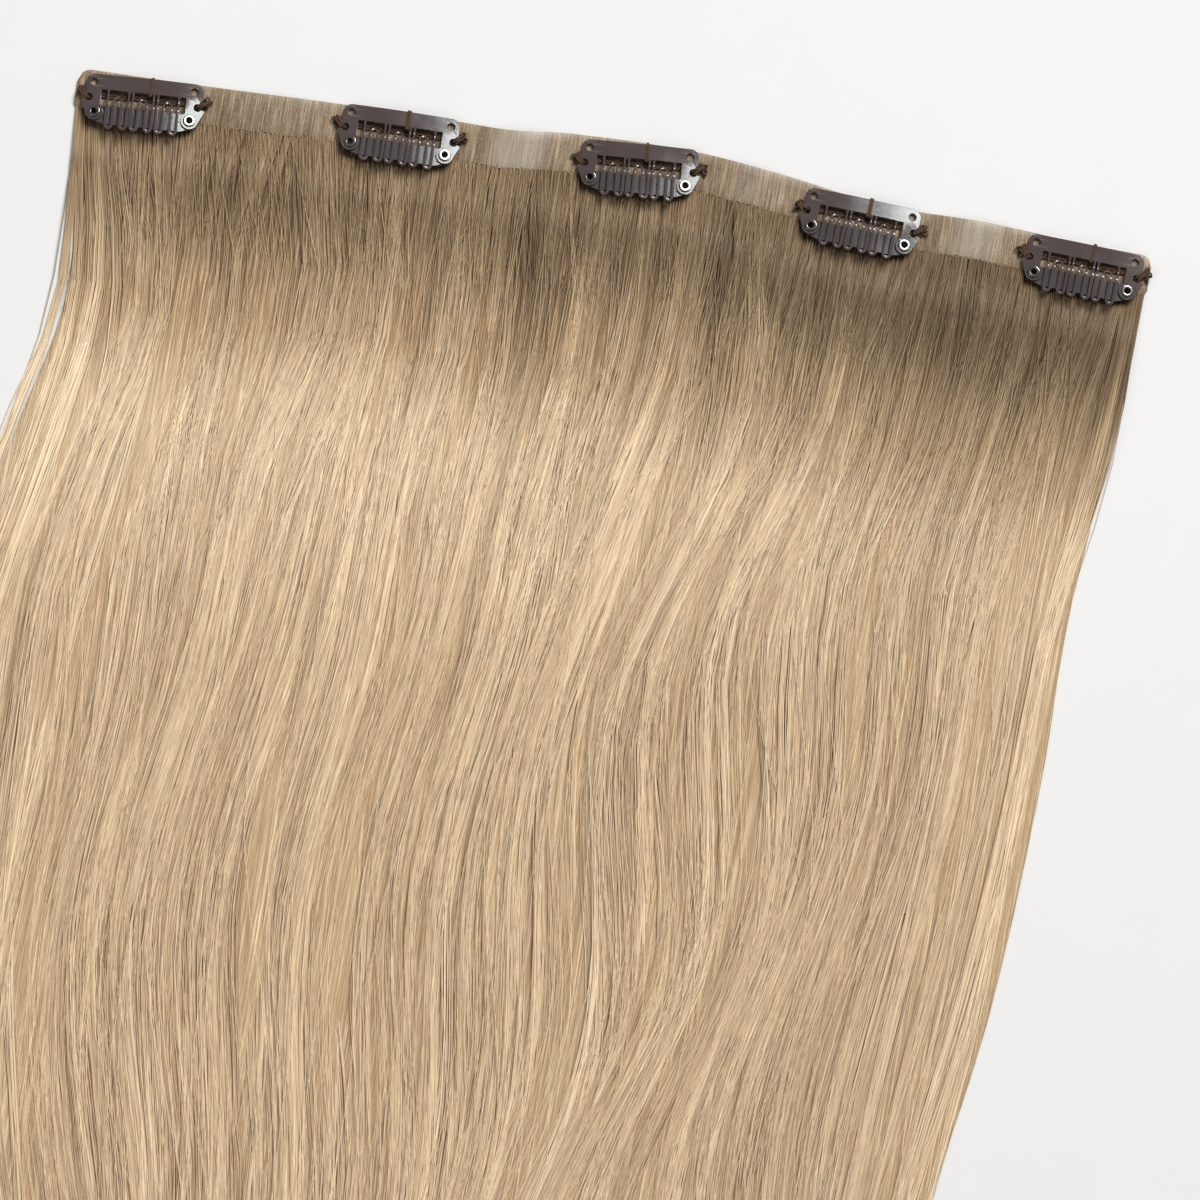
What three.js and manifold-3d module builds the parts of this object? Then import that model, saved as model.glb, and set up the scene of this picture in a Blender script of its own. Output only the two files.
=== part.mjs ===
// Clip-in hair extension: one wide weft laid flat with its five snap clips upwards.
// Millimetres. X runs along the band, the hair falls towards -Y and +Z is up from the floor.
// The origin is on the band's underside, half way along it and half way up it.

import * as THREE from 'three';
import { mergeVertices } from 'three/addons/utils/BufferGeometryUtils.js';
import Module from 'manifold-3d';

// Gap that two touching pieces keep
const fitGap = 0.3;

// Band: a thin flexible strip, bowed along its length and slack between the clips
const bandLength = 285;
const bandHeight = 10.4;
const bandThickness = 1.0;
const bandEdgeRound = 0.35;
const bandCornerRadius = 3.0;
const bandBow = 6.5;
const bandSlack = 1.8;

// Hair: locks that widen from a root strip below the band and taper to ragged tips
const hairLength = 406;
const hairRootThickness = 1.1;
const hairRootDepth = 14;
const hairThickness = 5.0;
const lockWidth = 27;
const lockWave = 4.0;
const lockWaveLength = 175;
const lockFootThickness = 0.8;

// Clip plate: steel sheet with a rail along its top and an arm at each end
const plateThickness = 0.5;
const railWidth = 30.8;
const railHeight = 4.05;
const railCornerRadius = 2.2;
const sewHoleRadius = 1.0;
const sewHoleSpacing = 26.3;
const sewHoleDrop = 2.15;
const armGap = 22.2;
const armEndRadius = 2.3;
const armTaperAngle = 20;
const notchRadius = 1.0;
const notchMouthAngle = 52;
const notchSpacing = 28.6;
const notchDrop = 6.25;
const earSpacing = 32.4;
const earDrop = 7.4;

// Clip teeth: three groups of one bent wire-like strip, 12 teeth and 6 loops in all
const toothWidth = 0.8;
const toothGroupSpacing = 6.55;
const outerToothSpacing = 5.46;
const innerToothSpacing = 2.06;
const toothLength = 14.55;
const toothArchDrop = 5.45;
const toothDip = 0.5;
const toothLift = 0.12;

// Clip bar: spring strip behind the teeth, held by the rivets
const barThickness = 0.5;
const barHeight = 4.9;
const barDrop = 8.25;
const barEndRadius = 2.2;
const barEndAngle = 150;
const barFlatWidth = 20;

// Clip rivets: eyelets with a hole through them
const rivetSpacing = 25.0;
const rivetDrop = 10.0;
const rivetBoreRadius = 0.75;
const rivetBarrelRadius = 1.1;
const rivetHeadRadius = 1.75;
const rivetHeadThickness = 0.35;
const rivetFootRadius = 1.45;
const rivetFootThickness = 0.25;

// Sewing thread
const stitchThickness = 0.6;
const stitchAlongRail = 1.7;
const stitchReach = 2.3;
const stitchClimb = 2.2;

// Number of straight pieces in each kind of round edge
const holeSides = 8;
const cornerSides = 3;
const notchSides = 6;
const armEndSides = 7;
const barEndSides = 5;
const rivetSides = 8;
const toothTurnSides = 4;
const bandSides = 40;
const rootStripSides = 24;

// Bow of the band: how high its middle line runs, along half its length
const bandBowTable = [
  { along: -1.0, rise: 0.08 },
  { along: -0.75, rise: 0.24 },
  { along: -0.5, rise: 0.46 },
  { along: -0.3, rise: 0.56 },
  { along: -0.2, rise: 0.58 },
  { along: -0.08, rise: 0.87 },
  { along: 0.13, rise: 1.0 },
  { along: 0.3, rise: 0.69 },
  { along: 0.45, rise: 0.27 },
  { along: 0.55, rise: 0.15 },
  { along: 0.68, rise: 0.19 },
  { along: 0.85, rise: 0.04 },
  { along: 1.0, rise: -0.03 },
];

// Clips: place along half the band, drop below its top edge as a share of its height,
// turn in degrees, and how much slack the band has between this clip and the next one
const clipTable = [
  { along: -0.877, below: 0.05, turn: 3.8, slack: 0.4 },
  { along: -0.402, below: -0.02, turn: 1.3, slack: 1.0 },
  { along: 0.039, below: 0.06, turn: 4.2, slack: 0.5 },
  { along: 0.461, below: -0.01, turn: -2.4, slack: 0.9 },
  { along: 0.878, below: 0.02, turn: -2.0, slack: 0.0 },
];

// Outline of the hair: its left and right edges in half band lengths, down its length
const hairEdgeTable = [
  { down: 0.0, left: -0.995, right: 0.995 },
  { down: 0.12, left: -0.97, right: 0.99 },
  { down: 0.22, left: -1.03, right: 0.975 },
  { down: 0.32, left: -1.09, right: 0.98 },
  { down: 0.47, left: -1.1, right: 0.962 },
  { down: 0.6, left: -1.04, right: 0.915 },
  { down: 0.8, left: -0.92, right: 0.86 },
  { down: 1.0, left: -0.8, right: 0.78 },
];

// Build of one lock down its length: its width and its thickness
const lockFormTable = [
  { down: 0.0, wide: 0.8, thick: 0.2 },
  { down: 0.07, wide: 0.95, thick: 0.34 },
  { down: 0.15, wide: 1.0, thick: 0.66 },
  { down: 0.25, wide: 1.02, thick: 0.9 },
  { down: 0.35, wide: 1.03, thick: 1.0 },
  { down: 0.46, wide: 1.02, thick: 0.96 },
  { down: 0.58, wide: 1.0, thick: 0.9 },
  { down: 0.7, wide: 0.98, thick: 0.8 },
  { down: 0.82, wide: 0.95, thick: 0.66 },
  { down: 0.91, wide: 0.85, thick: 0.5 },
  { down: 0.97, wide: 0.58, thick: 0.34 },
  { down: 1.0, wide: 0.26, thick: 0.2 },
];

// Locks: place between the outline's edges at root and tip, then shares of the sizes above,
// how far the crown leans to the right, and where in its wave the lock starts
const lockTable = [
  { root: 0.0, tip: 0.02, wide: 0.95, thick: 0.7, long: 0.93, lean: 0.12, start: 0.0 },
  { root: 0.07, tip: 0.05, wide: 1.05, thick: 0.95, long: 0.98, lean: -0.1, start: 0.08 },
  { root: 0.14, tip: 0.16, wide: 0.9, thick: 0.8, long: 0.96, lean: 0.15, start: 0.02 },
  { root: 0.21, tip: 0.22, wide: 1.1, thick: 1.0, long: 1.0, lean: -0.05, start: 0.12 },
  { root: 0.29, tip: 0.27, wide: 0.95, thick: 0.78, long: 0.95, lean: 0.1, start: 0.05 },
  { root: 0.36, tip: 0.38, wide: 1.05, thick: 0.92, long: 0.99, lean: -0.15, start: 0.1 },
  { root: 0.43, tip: 0.43, wide: 0.9, thick: 0.76, long: 0.97, lean: 0.05, start: 0.0 },
  { root: 0.5, tip: 0.51, wide: 1.0, thick: 0.95, long: 1.0, lean: 0.12, start: 0.07 },
  { root: 0.57, tip: 0.58, wide: 1.1, thick: 0.82, long: 0.95, lean: -0.1, start: 0.14 },
  { root: 0.65, tip: 0.64, wide: 0.92, thick: 1.0, long: 0.99, lean: 0.08, start: 0.03 },
  { root: 0.72, tip: 0.73, wide: 1.02, thick: 0.8, long: 0.96, lean: -0.06, start: 0.09 },
  { root: 0.79, tip: 0.8, wide: 0.95, thick: 0.94, long: 1.0, lean: 0.14, start: 0.01 },
  { root: 0.86, tip: 0.86, wide: 1.05, thick: 0.8, long: 0.97, lean: -0.12, start: 0.11 },
  { root: 0.93, tip: 0.94, wide: 0.95, thick: 0.88, long: 0.99, lean: 0.04, start: 0.04 },
  { root: 1.0, tip: 0.99, wide: 0.9, thick: 0.7, long: 0.94, lean: -0.1, start: 0.06 },
];

const halfBand = bandLength / 2;
const barBack = fitGap + barThickness;
const rivetFootDepth = barBack + fitGap + rivetFootThickness;

// Where the teeth have risen clear of the bar, just above its upper edge
const toothRiseY = 2 * fitGap - barDrop;

// The clip leans on the band with its rail, and its rivets' feet lift its lower edge clear
const clipTilt = Math.atan2(rivetFootDepth, rivetDrop - rivetFootRadius);

const wasm = await Module();
wasm.setup();

// Turns a closed geometry into a solid that can be joined
function toSolid(geometry) {
  geometry.deleteAttribute('normal');
  geometry.deleteAttribute('uv');
  const merged = mergeVertices(geometry);
  const mesh = new wasm.Mesh({
    numProp: 3,
    vertProperties: new Float32Array(merged.attributes.position.array),
    triVerts: new Uint32Array(merged.index.array),
  });
  return new wasm.Manifold(mesh);
}

// Joins closed geometries into one
function join(geometries) {
  const [first, ...others] = geometries.map(toSolid);
  const joined = others.reduce((sum, solid) => sum.add(solid), first).getMesh();
  const geometry = new THREE.BufferGeometry();
  geometry.setAttribute('position', new THREE.BufferAttribute(joined.vertProperties, 3));
  geometry.setIndex(new THREE.BufferAttribute(joined.triVerts, 1));
  geometry.computeVertexNormals();
  return geometry;
}

// Skins a row of rings that all have the same number of points, and closes both ends
function loft(rings) {
  const sides = rings[0].length;
  const positions = rings.flat().flatMap((point) => [point.x, point.y, point.z]);
  const faces = [];
  for (let ring = 0; ring + 1 < rings.length; ring += 1) {
    for (let side = 0; side < sides; side += 1) {
      const a = ring * sides + side;
      const b = ring * sides + ((side + 1) % sides);
      faces.push([a, b, b + sides], [a, b + sides, a + sides]);
    }
  }
  const last = (rings.length - 1) * sides;
  for (let side = 1; side + 1 < sides; side += 1) {
    faces.push([0, side + 1, side], [last, last + side, last + side + 1]);
  }
  if (enclosedVolume(positions, faces) < 0) {
    faces.forEach((face) => face.reverse());
  }
  const geometry = new THREE.BufferGeometry();
  geometry.setAttribute('position', new THREE.Float32BufferAttribute(positions, 3));
  geometry.setIndex(faces.flat());
  geometry.computeVertexNormals();
  return geometry;
}

// Volume inside the faces, negative where they point inwards
function enclosedVolume(positions, faces) {
  const corner = (index) => new THREE.Vector3().fromArray(positions, index * 3);
  return faces.reduce((sum, [a, b, c]) => {
    return sum + corner(a).dot(corner(b).cross(corner(c))) / 6;
  }, 0);
}

// Smooth curve through one column of a table, read at any place along another column
function curveThrough(rows, placeColumn, valueColumn) {
  const places = rows.map((row) => row[placeColumn]);
  const values = rows.map((row) => row[valueColumn]);
  const end = rows.length - 1;
  const slopes = values.map((value, index) => {
    const before = Math.max(index - 1, 0);
    const after = Math.min(index + 1, end);
    return (values[after] - values[before]) / (places[after] - places[before]);
  });
  return (place) => {
    const after = Math.min(Math.max(places.findIndex((start) => start >= place), 1), end);
    const row = place > places[end] ? end : after;
    const span = places[row] - places[row - 1];
    const t = (place - places[row - 1]) / span;
    const rise = t * t * (3 - 2 * t);
    const startBend = (t - 1) * (t - 1) * t * span * slopes[row - 1];
    const endBend = (t - 1) * t * t * span * slopes[row];
    return values[row - 1] * (1 - rise) + values[row] * rise + startBend + endBend;
  };
}

// Points of an arc in a flat outline, its angles in degrees
function arc(x, y, radius, fromAngle, toAngle, sides) {
  return Array.from({ length: sides + 1 }, (_, step) => {
    const angle = THREE.MathUtils.degToRad(fromAngle + ((toAngle - fromAngle) * step) / sides);
    return new THREE.Vector2(x + radius * Math.cos(angle), y + radius * Math.sin(angle));
  });
}

function hole(x, y, radius) {
  return new THREE.Path(arc(x, y, radius, 0, 360, holeSides).slice(1));
}

// Right half of an outline followed by its mirror image
function mirroredShape(rightHalf) {
  const leftHalf = rightHalf.map((point) => new THREE.Vector2(-point.x, point.y)).reverse();
  return new THREE.Shape([...rightHalf, ...leftHalf]);
}

// Band

const bowShare = curveThrough(bandBowTable, 'along', 'rise');

// Height of the band's middle line above the origin
function bandMiddle(x) {
  const along = THREE.MathUtils.clamp(x / halfBand, -1, 1);
  return bandBow * (bowShare(along) - bowShare(0));
}

// How far the band stands off the floor in its slack stretches between clips
function bandStandOff(x) {
  for (let index = 0; index + 1 < clipTable.length; index += 1) {
    const from = clipTable[index].along * halfBand + earSpacing / 2;
    const to = clipTable[index + 1].along * halfBand - earSpacing / 2;
    if (x > from && x < to) {
      const swell = Math.sin((Math.PI * (x - from)) / (to - from));
      return bandSlack * clipTable[index].slack * swell * swell;
    }
  }
  return 0;
}

// Places along the band where its section is drawn, closer at its rounded ends
function bandStations() {
  const inner = halfBand - bandCornerRadius;
  const middle = Array.from({ length: bandSides + 1 }, (_, step) => {
    return THREE.MathUtils.lerp(-inner, inner, step / bandSides);
  });
  const ends = [0.45, 0.8, 1].map((share) => inner + bandCornerRadius * share);
  return [...ends.map((x) => -x).reverse(), ...middle, ...ends];
}

// Section of the band across its height, with its front edges eased
function bandSection(x) {
  const intoCorner = Math.max(Math.abs(x) - (halfBand - bandCornerRadius), 0);
  const arcDrop = Math.sqrt(Math.max(bandCornerRadius ** 2 - intoCorner ** 2, 0));
  const top = bandMiddle(x) + bandHeight / 2 - (bandCornerRadius - arcDrop);
  const bottom = bandMiddle(x) - bandHeight / 2;
  const floor = bandStandOff(x);
  const front = floor + bandThickness;
  return [
    new THREE.Vector3(x, bottom, floor),
    new THREE.Vector3(x, top, floor),
    new THREE.Vector3(x, top, front - bandEdgeRound),
    new THREE.Vector3(x, top - bandEdgeRound, front),
    new THREE.Vector3(x, bottom + bandEdgeRound, front),
    new THREE.Vector3(x, bottom, front - bandEdgeRound),
  ];
}

function bandGeometry() {
  return loft(bandStations().map(bandSection));
}

// Hair

const leftEdge = curveThrough(hairEdgeTable, 'down', 'left');
const rightEdge = curveThrough(hairEdgeTable, 'down', 'right');

// Upper edge of the hair, just below the band
function hairTop(x) {
  return bandMiddle(x) - bandHeight / 2 - fitGap;
}

// Place across the hair at a share of the way from its left edge to its right one
function hairAcross(share, down) {
  return THREE.MathUtils.lerp(leftEdge(down), rightEdge(down), share) * halfBand;
}

// Root strip that the locks grow from: a wedge that follows the band and its slack stretches
function rootStripGeometry() {
  const foot = hairRootDepth / hairLength;
  const stations = Array.from({ length: rootStripSides + 1 }, (_, step) => step / rootStripSides);
  return loft(stations.map((share) => {
    const topX = hairAcross(share, 0);
    const footX = hairAcross(share, foot);
    return [
      new THREE.Vector3(topX, hairTop(topX), 0),
      new THREE.Vector3(topX, hairTop(topX), hairRootThickness + bandStandOff(topX)),
      new THREE.Vector3(footX, hairTop(footX) - hairRootDepth, lockFootThickness),
      new THREE.Vector3(footX, hairTop(footX) - hairRootDepth, 0),
    ];
  }));
}

// Section of a lock: flat on the floor, with a crown that leans to one side
function lockSection(lock, form) {
  const width = lockWidth * lock.wide * form.wide;
  const height = hairThickness * lock.thick * form.thick;
  const down = form.down * lock.long;
  const across = THREE.MathUtils.lerp(lock.root, lock.tip, form.down);
  const left = hairAcross(0, down) + width / 2;
  const right = hairAcross(1, down) - width / 2;
  const turns = lock.start + (down * hairLength) / lockWaveLength;
  const swing = lockWave * (Math.sin(2 * Math.PI * turns) - Math.sin(2 * Math.PI * lock.start));
  const middle = THREE.MathUtils.lerp(left, right, across) + swing * across * (1 - across) * 4;
  const outline = [
    { across: -0.5, up: 0 },
    { across: 0.5, up: 0 },
    { across: 0.28 + lock.lean / 2, up: 0.8 },
    { across: lock.lean, up: 1 },
    { across: -0.28 + lock.lean / 2, up: 0.8 },
  ];
  return outline.map((point) => {
    const x = middle + width * point.across;
    return new THREE.Vector3(x, hairTop(x) - fitGap - down * hairLength, height * point.up);
  });
}

function hairGeometry() {
  const locks = lockTable.map((lock) => loft(lockFormTable.map((form) => lockSection(lock, form))));
  return join([rootStripGeometry(), ...locks]);
}

// Clip plate and teeth, drawn from the middle of the rail's top edge with the plate's back at z 0

function plateOutline() {
  const railEnd = railWidth / 2;
  const notchX = notchSpacing / 2;
  const lipAngle = notchMouthAngle / 2;
  const lipY = notchRadius * Math.sin(THREE.MathUtils.degToRad(lipAngle)) - notchDrop;
  const rivetX = rivetSpacing / 2;
  const armInside = armGap / 2;
  const armAngle = THREE.MathUtils.radToDeg(Math.acos((armInside - rivetX) / armEndRadius));
  return [
    ...arc(railEnd - railCornerRadius, -railCornerRadius, railCornerRadius, 90, 0, cornerSides),
    new THREE.Vector2(railEnd, lipY),
    ...arc(notchX, -notchDrop, notchRadius, lipAngle, 360 - lipAngle, notchSides),
    new THREE.Vector2(earSpacing / 2, -earDrop),
    ...arc(rivetX, -rivetDrop, armEndRadius, -armTaperAngle, armAngle - 360, armEndSides),
    new THREE.Vector2(armInside, -railHeight),
  ];
}

function plateGeometry() {
  const shape = mirroredShape(plateOutline());
  const rivetHole = rivetBarrelRadius + fitGap;
  for (const side of [-1, 1]) {
    shape.holes.push(hole((side * sewHoleSpacing) / 2, -sewHoleDrop, sewHoleRadius));
    shape.holes.push(hole((side * rivetSpacing) / 2, -rivetDrop, rivetHole));
  }
  return new THREE.ExtrudeGeometry(shape, { depth: plateThickness, bevelEnabled: false });
}

// How far a tooth stands in front of the plate: it dips behind the rail, then rises over the bar
function toothStandOff(y) {
  const share = THREE.MathUtils.clamp((y + railHeight) / (toothRiseY + railHeight), 0, 1);
  return share < 1 ? toothLift * share - toothDip * Math.sin(Math.PI * share) : toothLift;
}

// Middle line of one group of teeth: down, round a loop, up, over an arch, and the same mirrored
function toothPath() {
  const outer = outerToothSpacing / 2;
  const inner = innerToothSpacing / 2;
  const loopRadius = (outer - inner) / 2;
  const loopY = -toothLength + toothWidth / 2 + loopRadius;
  const archY = -toothArchDrop - toothWidth / 2 - inner;
  const rootY = -railHeight + toothWidth / 2;
  const bend = [0, 0.3, 0.55, 0.8, 1].map((share) => {
    return new THREE.Vector2(-outer, THREE.MathUtils.lerp(-railHeight, toothRiseY, share));
  });
  const half = [
    new THREE.Vector2(-outer, rootY),
    ...bend,
    ...arc(-outer + loopRadius, loopY, loopRadius, 180, 360, toothTurnSides),
    new THREE.Vector2(-inner, toothRiseY),
    ...arc(0, archY, inner, 180, 90, toothTurnSides / 2),
  ];
  const mirrored = half.slice(0, -1).map((point) => new THREE.Vector2(-point.x, point.y)).reverse();
  return [...half, ...mirrored];
}

function toothGroupGeometry(groupX) {
  const path = toothPath();
  const rings = path.map((point, index) => {
    const before = path[Math.max(index - 1, 0)];
    const after = path[Math.min(index + 1, path.length - 1)];
    const along = after.clone().sub(before).normalize();
    const side = new THREE.Vector2(-along.y, along.x).multiplyScalar(toothWidth / 2);
    const back = toothStandOff(point.y);
    const front = back + plateThickness;
    return [
      new THREE.Vector3(groupX + point.x - side.x, point.y - side.y, back),
      new THREE.Vector3(groupX + point.x + side.x, point.y + side.y, back),
      new THREE.Vector3(groupX + point.x + side.x, point.y + side.y, front),
      new THREE.Vector3(groupX + point.x - side.x, point.y - side.y, front),
    ];
  });
  return loft(rings);
}

function combGeometry() {
  const groups = [-1, 0, 1].map((place) => toothGroupGeometry(place * toothGroupSpacing));
  return join([plateGeometry(), ...groups]);
}

// Bar behind the teeth, with a rounded end round each rivet

function barGeometry() {
  const rivetX = rivetSpacing / 2;
  const rightHalf = [
    new THREE.Vector2(barFlatWidth / 2, -barDrop),
    ...arc(rivetX, -rivetDrop, barEndRadius, barEndAngle / 2, -barEndAngle / 2, barEndSides),
    new THREE.Vector2(barFlatWidth / 2, -barDrop - barHeight),
  ];
  const shape = mirroredShape(rightHalf);
  for (const side of [-1, 1]) {
    shape.holes.push(hole(side * rivetX, -rivetDrop, rivetBarrelRadius + fitGap));
  }
  const geometry = new THREE.ExtrudeGeometry(shape, { depth: barThickness, bevelEnabled: false });
  return geometry.translate(0, 0, -barBack);
}

// Eyelet rivet: a barrel through plate and bar, with a wide head in front and a small foot behind
function rivetGeometry() {
  const headBack = plateThickness + fitGap;
  const top = headBack + rivetHeadThickness;
  const footFront = -barBack - fitGap;
  const profile = [
    new THREE.Vector2(rivetBoreRadius, -rivetFootDepth),
    new THREE.Vector2(rivetFootRadius, -rivetFootDepth),
    new THREE.Vector2(rivetFootRadius, footFront),
    new THREE.Vector2(rivetBarrelRadius, footFront),
    new THREE.Vector2(rivetBarrelRadius, headBack),
    new THREE.Vector2(rivetHeadRadius, headBack),
    new THREE.Vector2((rivetHeadRadius + rivetBarrelRadius) / 2, top),
    new THREE.Vector2(rivetBoreRadius, top),
    new THREE.Vector2(rivetBoreRadius, -rivetFootDepth),
  ];
  return new THREE.LatheGeometry(profile, rivetSides).rotateX(Math.PI / 2);
}

// Stitches, drawn in the clip's untilted frame with z 0 on the band's front

// Front of the tilted plate at a place below the rail's top edge
function plateFront(y) {
  return fitGap - y * Math.tan(clipTilt) + plateThickness / Math.cos(clipTilt);
}

// Thread that comes up out of the band at one foot, crosses the plate and goes down at the other
function stitchGeometry(fromX, fromY, toX, toY) {
  const radius = stitchThickness / 2;
  const run = new THREE.Vector2(toX - fromX, toY - fromY);
  const length = run.length();
  run.normalize();
  const height = (y) => plateFront(Math.min(y, 0)) + fitGap + radius;
  const outline = [
    { along: 0, z: fitGap, lean: [-1, 0] },
    { along: 0, z: height(fromY) - radius / 2, lean: [-1, 0.4] },
    { along: radius, z: height(fromY) + radius / 2, lean: [-0.5, 1] },
    { along: length - radius, z: height(toY) + radius / 2, lean: [0.5, 1] },
    { along: length, z: height(toY) - radius / 2, lean: [1, 0.4] },
    { along: length, z: fitGap, lean: [1, 0] },
  ];
  const rings = outline.map((place) => {
    const centre = new THREE.Vector3(fromX + run.x * place.along, fromY + run.y * place.along, place.z);
    const out = new THREE.Vector3(run.x * place.lean[0], run.y * place.lean[0], place.lean[1]);
    out.normalize().multiplyScalar(radius);
    const side = new THREE.Vector3(-run.y, run.x, 0).multiplyScalar(radius);
    return [
      centre.clone().add(out),
      centre.clone().add(side),
      centre.clone().sub(out),
      centre.clone().sub(side),
    ];
  });
  return loft(rings);
}

// Materials, one for each sub-part

function hairMaterial() {
  return new THREE.MeshStandardMaterial({ color: 0x9c8266, roughness: 0.5, metalness: 0 });
}

function bandMaterial() {
  return new THREE.MeshStandardMaterial({ color: 0xa08c76, roughness: 0.4, metalness: 0 });
}

function steelMaterial() {
  return new THREE.MeshStandardMaterial({ color: 0x584c4c, roughness: 0.35, metalness: 0.8 });
}

function eyeletMaterial() {
  return new THREE.MeshStandardMaterial({ color: 0x8a8284, roughness: 0.25, metalness: 1 });
}

function threadMaterial() {
  return new THREE.MeshStandardMaterial({ color: 0x322018, roughness: 0.8, metalness: 0 });
}

function namedMesh(name, geometry, material) {
  const mesh = new THREE.Mesh(geometry, material);
  mesh.name = name;
  return mesh;
}

// Assembly

// One clip, sewn to the band's front near its top edge
function clip(number, place) {
  const name = `clip_${number}`;
  const leaning = new THREE.Group();
  leaning.rotation.x = -clipTilt;
  leaning.position.z = fitGap;
  leaning.add(namedMesh(`${name}_comb`, combGeometry(), steelMaterial()));
  leaning.add(namedMesh(`${name}_bar`, barGeometry(), steelMaterial()));
  for (const [end, side] of [['left', -1], ['right', 1]]) {
    const rivet = namedMesh(`${name}_rivet_${end}`, rivetGeometry(), eyeletMaterial());
    rivet.position.set((side * rivetSpacing) / 2, -rivetDrop, 0);
    leaning.add(rivet);
  }

  const sewn = new THREE.Group();
  sewn.add(leaning);
  for (const [end, side] of [['left', -1], ['right', 1]]) {
    const notchX = (side * notchSpacing) / 2;
    const outX = notchX + side * stitchReach;
    const outY = -notchDrop + stitchClimb;
    const stitch = stitchGeometry(notchX, -notchDrop, outX, outY);
    sewn.add(namedMesh(`${name}_stitch_${end}`, stitch, threadMaterial()));
  }
  const stitchClear = fitGap + stitchThickness / 2;
  const windowY = -railHeight - stitchClear;
  const railStitch = stitchGeometry(stitchAlongRail, stitchClear, stitchAlongRail, windowY);
  sewn.add(namedMesh(`${name}_stitch_middle`, railStitch, threadMaterial()));

  const x = place.along * halfBand;
  const y = bandMiddle(x) + bandHeight / 2 - place.below * bandHeight;
  sewn.position.set(x, y, bandThickness);
  sewn.rotation.z = THREE.MathUtils.degToRad(place.turn);
  return sewn;
}

const weft = new THREE.Group();
weft.add(namedMesh('band', bandGeometry(), bandMaterial()));
weft.add(namedMesh('hair', hairGeometry(), hairMaterial()));
clipTable.forEach((place, index) => weft.add(clip(index + 1, place)));

export default weft;
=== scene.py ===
# A clip-in hair extension lying flat: a thin band with five snap clips sewn to its front,
# and straight hair with a slow wave falling from it. Metres, +Z up, in the frame's own axes.

import math

import bmesh
import bpy
import numpy as np
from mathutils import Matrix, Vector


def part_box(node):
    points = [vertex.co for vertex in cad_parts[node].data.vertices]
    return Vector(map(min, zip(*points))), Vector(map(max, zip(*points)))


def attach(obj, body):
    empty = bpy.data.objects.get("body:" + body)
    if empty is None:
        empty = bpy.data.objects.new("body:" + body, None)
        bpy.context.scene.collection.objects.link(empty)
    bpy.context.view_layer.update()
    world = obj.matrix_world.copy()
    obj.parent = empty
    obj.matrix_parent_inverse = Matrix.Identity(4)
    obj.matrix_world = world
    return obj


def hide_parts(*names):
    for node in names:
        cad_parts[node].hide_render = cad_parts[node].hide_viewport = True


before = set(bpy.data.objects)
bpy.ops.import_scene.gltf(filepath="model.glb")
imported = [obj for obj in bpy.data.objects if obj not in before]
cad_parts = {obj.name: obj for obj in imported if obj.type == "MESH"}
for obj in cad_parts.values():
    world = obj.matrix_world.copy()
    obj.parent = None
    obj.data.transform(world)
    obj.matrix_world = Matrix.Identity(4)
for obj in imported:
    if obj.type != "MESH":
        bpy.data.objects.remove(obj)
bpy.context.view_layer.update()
mm = 0.001

# Camera. The weft is photographed as a flat lay, from straight above through a long lens,
# turned so that the band slopes down to the right across the picture.
picture_side = 314.1 * mm
picture_centre = (15.3 * mm, -114.4 * mm)
picture_turn = math.radians(9.84)
lens_length = 240.0

camera_data = bpy.data.cameras.new("camera")
camera_data.lens = lens_length
camera = bpy.data.objects.new("camera", camera_data)
camera.location = (*picture_centre, picture_side * lens_length / camera_data.sensor_width)
camera.rotation_euler = (0.0, 0.0, picture_turn)
bpy.context.scene.collection.objects.link(camera)
bpy.context.scene.camera = camera
bpy.context.scene.view_settings.view_transform = "Standard"

# Light. One large soft box stands far off beyond the band and to its right, so that each clip
# shades the hair below it, and an even pale surround fills the rest.


def add_soft_box(name, place, aim, size, power, tint):
    """A rectangular soft box at a place, turned to face the point that it aims at."""
    light = bpy.data.lights.new(name, "AREA")
    light.shape = "RECTANGLE"
    light.size, light.size_y = size
    light.energy = power
    light.color = tint
    stand = bpy.data.objects.new(name, light)
    towards = np.array(aim) - np.array(place)
    across = math.hypot(towards[0], towards[1])
    stand.rotation_euler = (
        math.atan2(across, -towards[2]),
        0.0,
        math.atan2(towards[1], towards[0]) - math.pi / 2,
    )
    stand.location = place
    bpy.context.scene.collection.objects.link(stand)


weft_middle = (0.0, -0.1, 0.0)
add_soft_box("key_light", (0.92, 2.16, 3.0), weft_middle, (1.6, 1.6), 216.0, (1.0, 0.99, 0.972))
add_soft_box("fill_light", (-2.6, -1.6, 3.0), weft_middle, (1.6, 1.6), 26.0, (0.97, 0.98, 1.0))

surround = bpy.data.worlds.new("surround")
surround.use_nodes = True
surround.node_tree.nodes["Background"].inputs["Color"].default_value = (0.95, 0.95, 0.95, 1.0)
surround.node_tree.nodes["Background"].inputs["Strength"].default_value = 0.24
bpy.context.scene.world = surround


# Ground. A smooth pale sheet that the weft lies on; it belongs to the studio.


class Wire:
    """A socket that a finish can reckon with: sums on it add Math nodes to its material."""

    def __init__(self, finish, socket):
        self.finish = finish
        self.socket = socket

    def __add__(self, other):
        return self.finish.reckon("ADD", self, other)

    def __sub__(self, other):
        return self.finish.reckon("SUBTRACT", self, other)

    def __rsub__(self, other):
        return self.finish.reckon("SUBTRACT", other, self)

    def __mul__(self, other):
        return self.finish.reckon("MULTIPLY", self, other)

    __radd__ = __add__
    __rmul__ = __mul__


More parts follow.
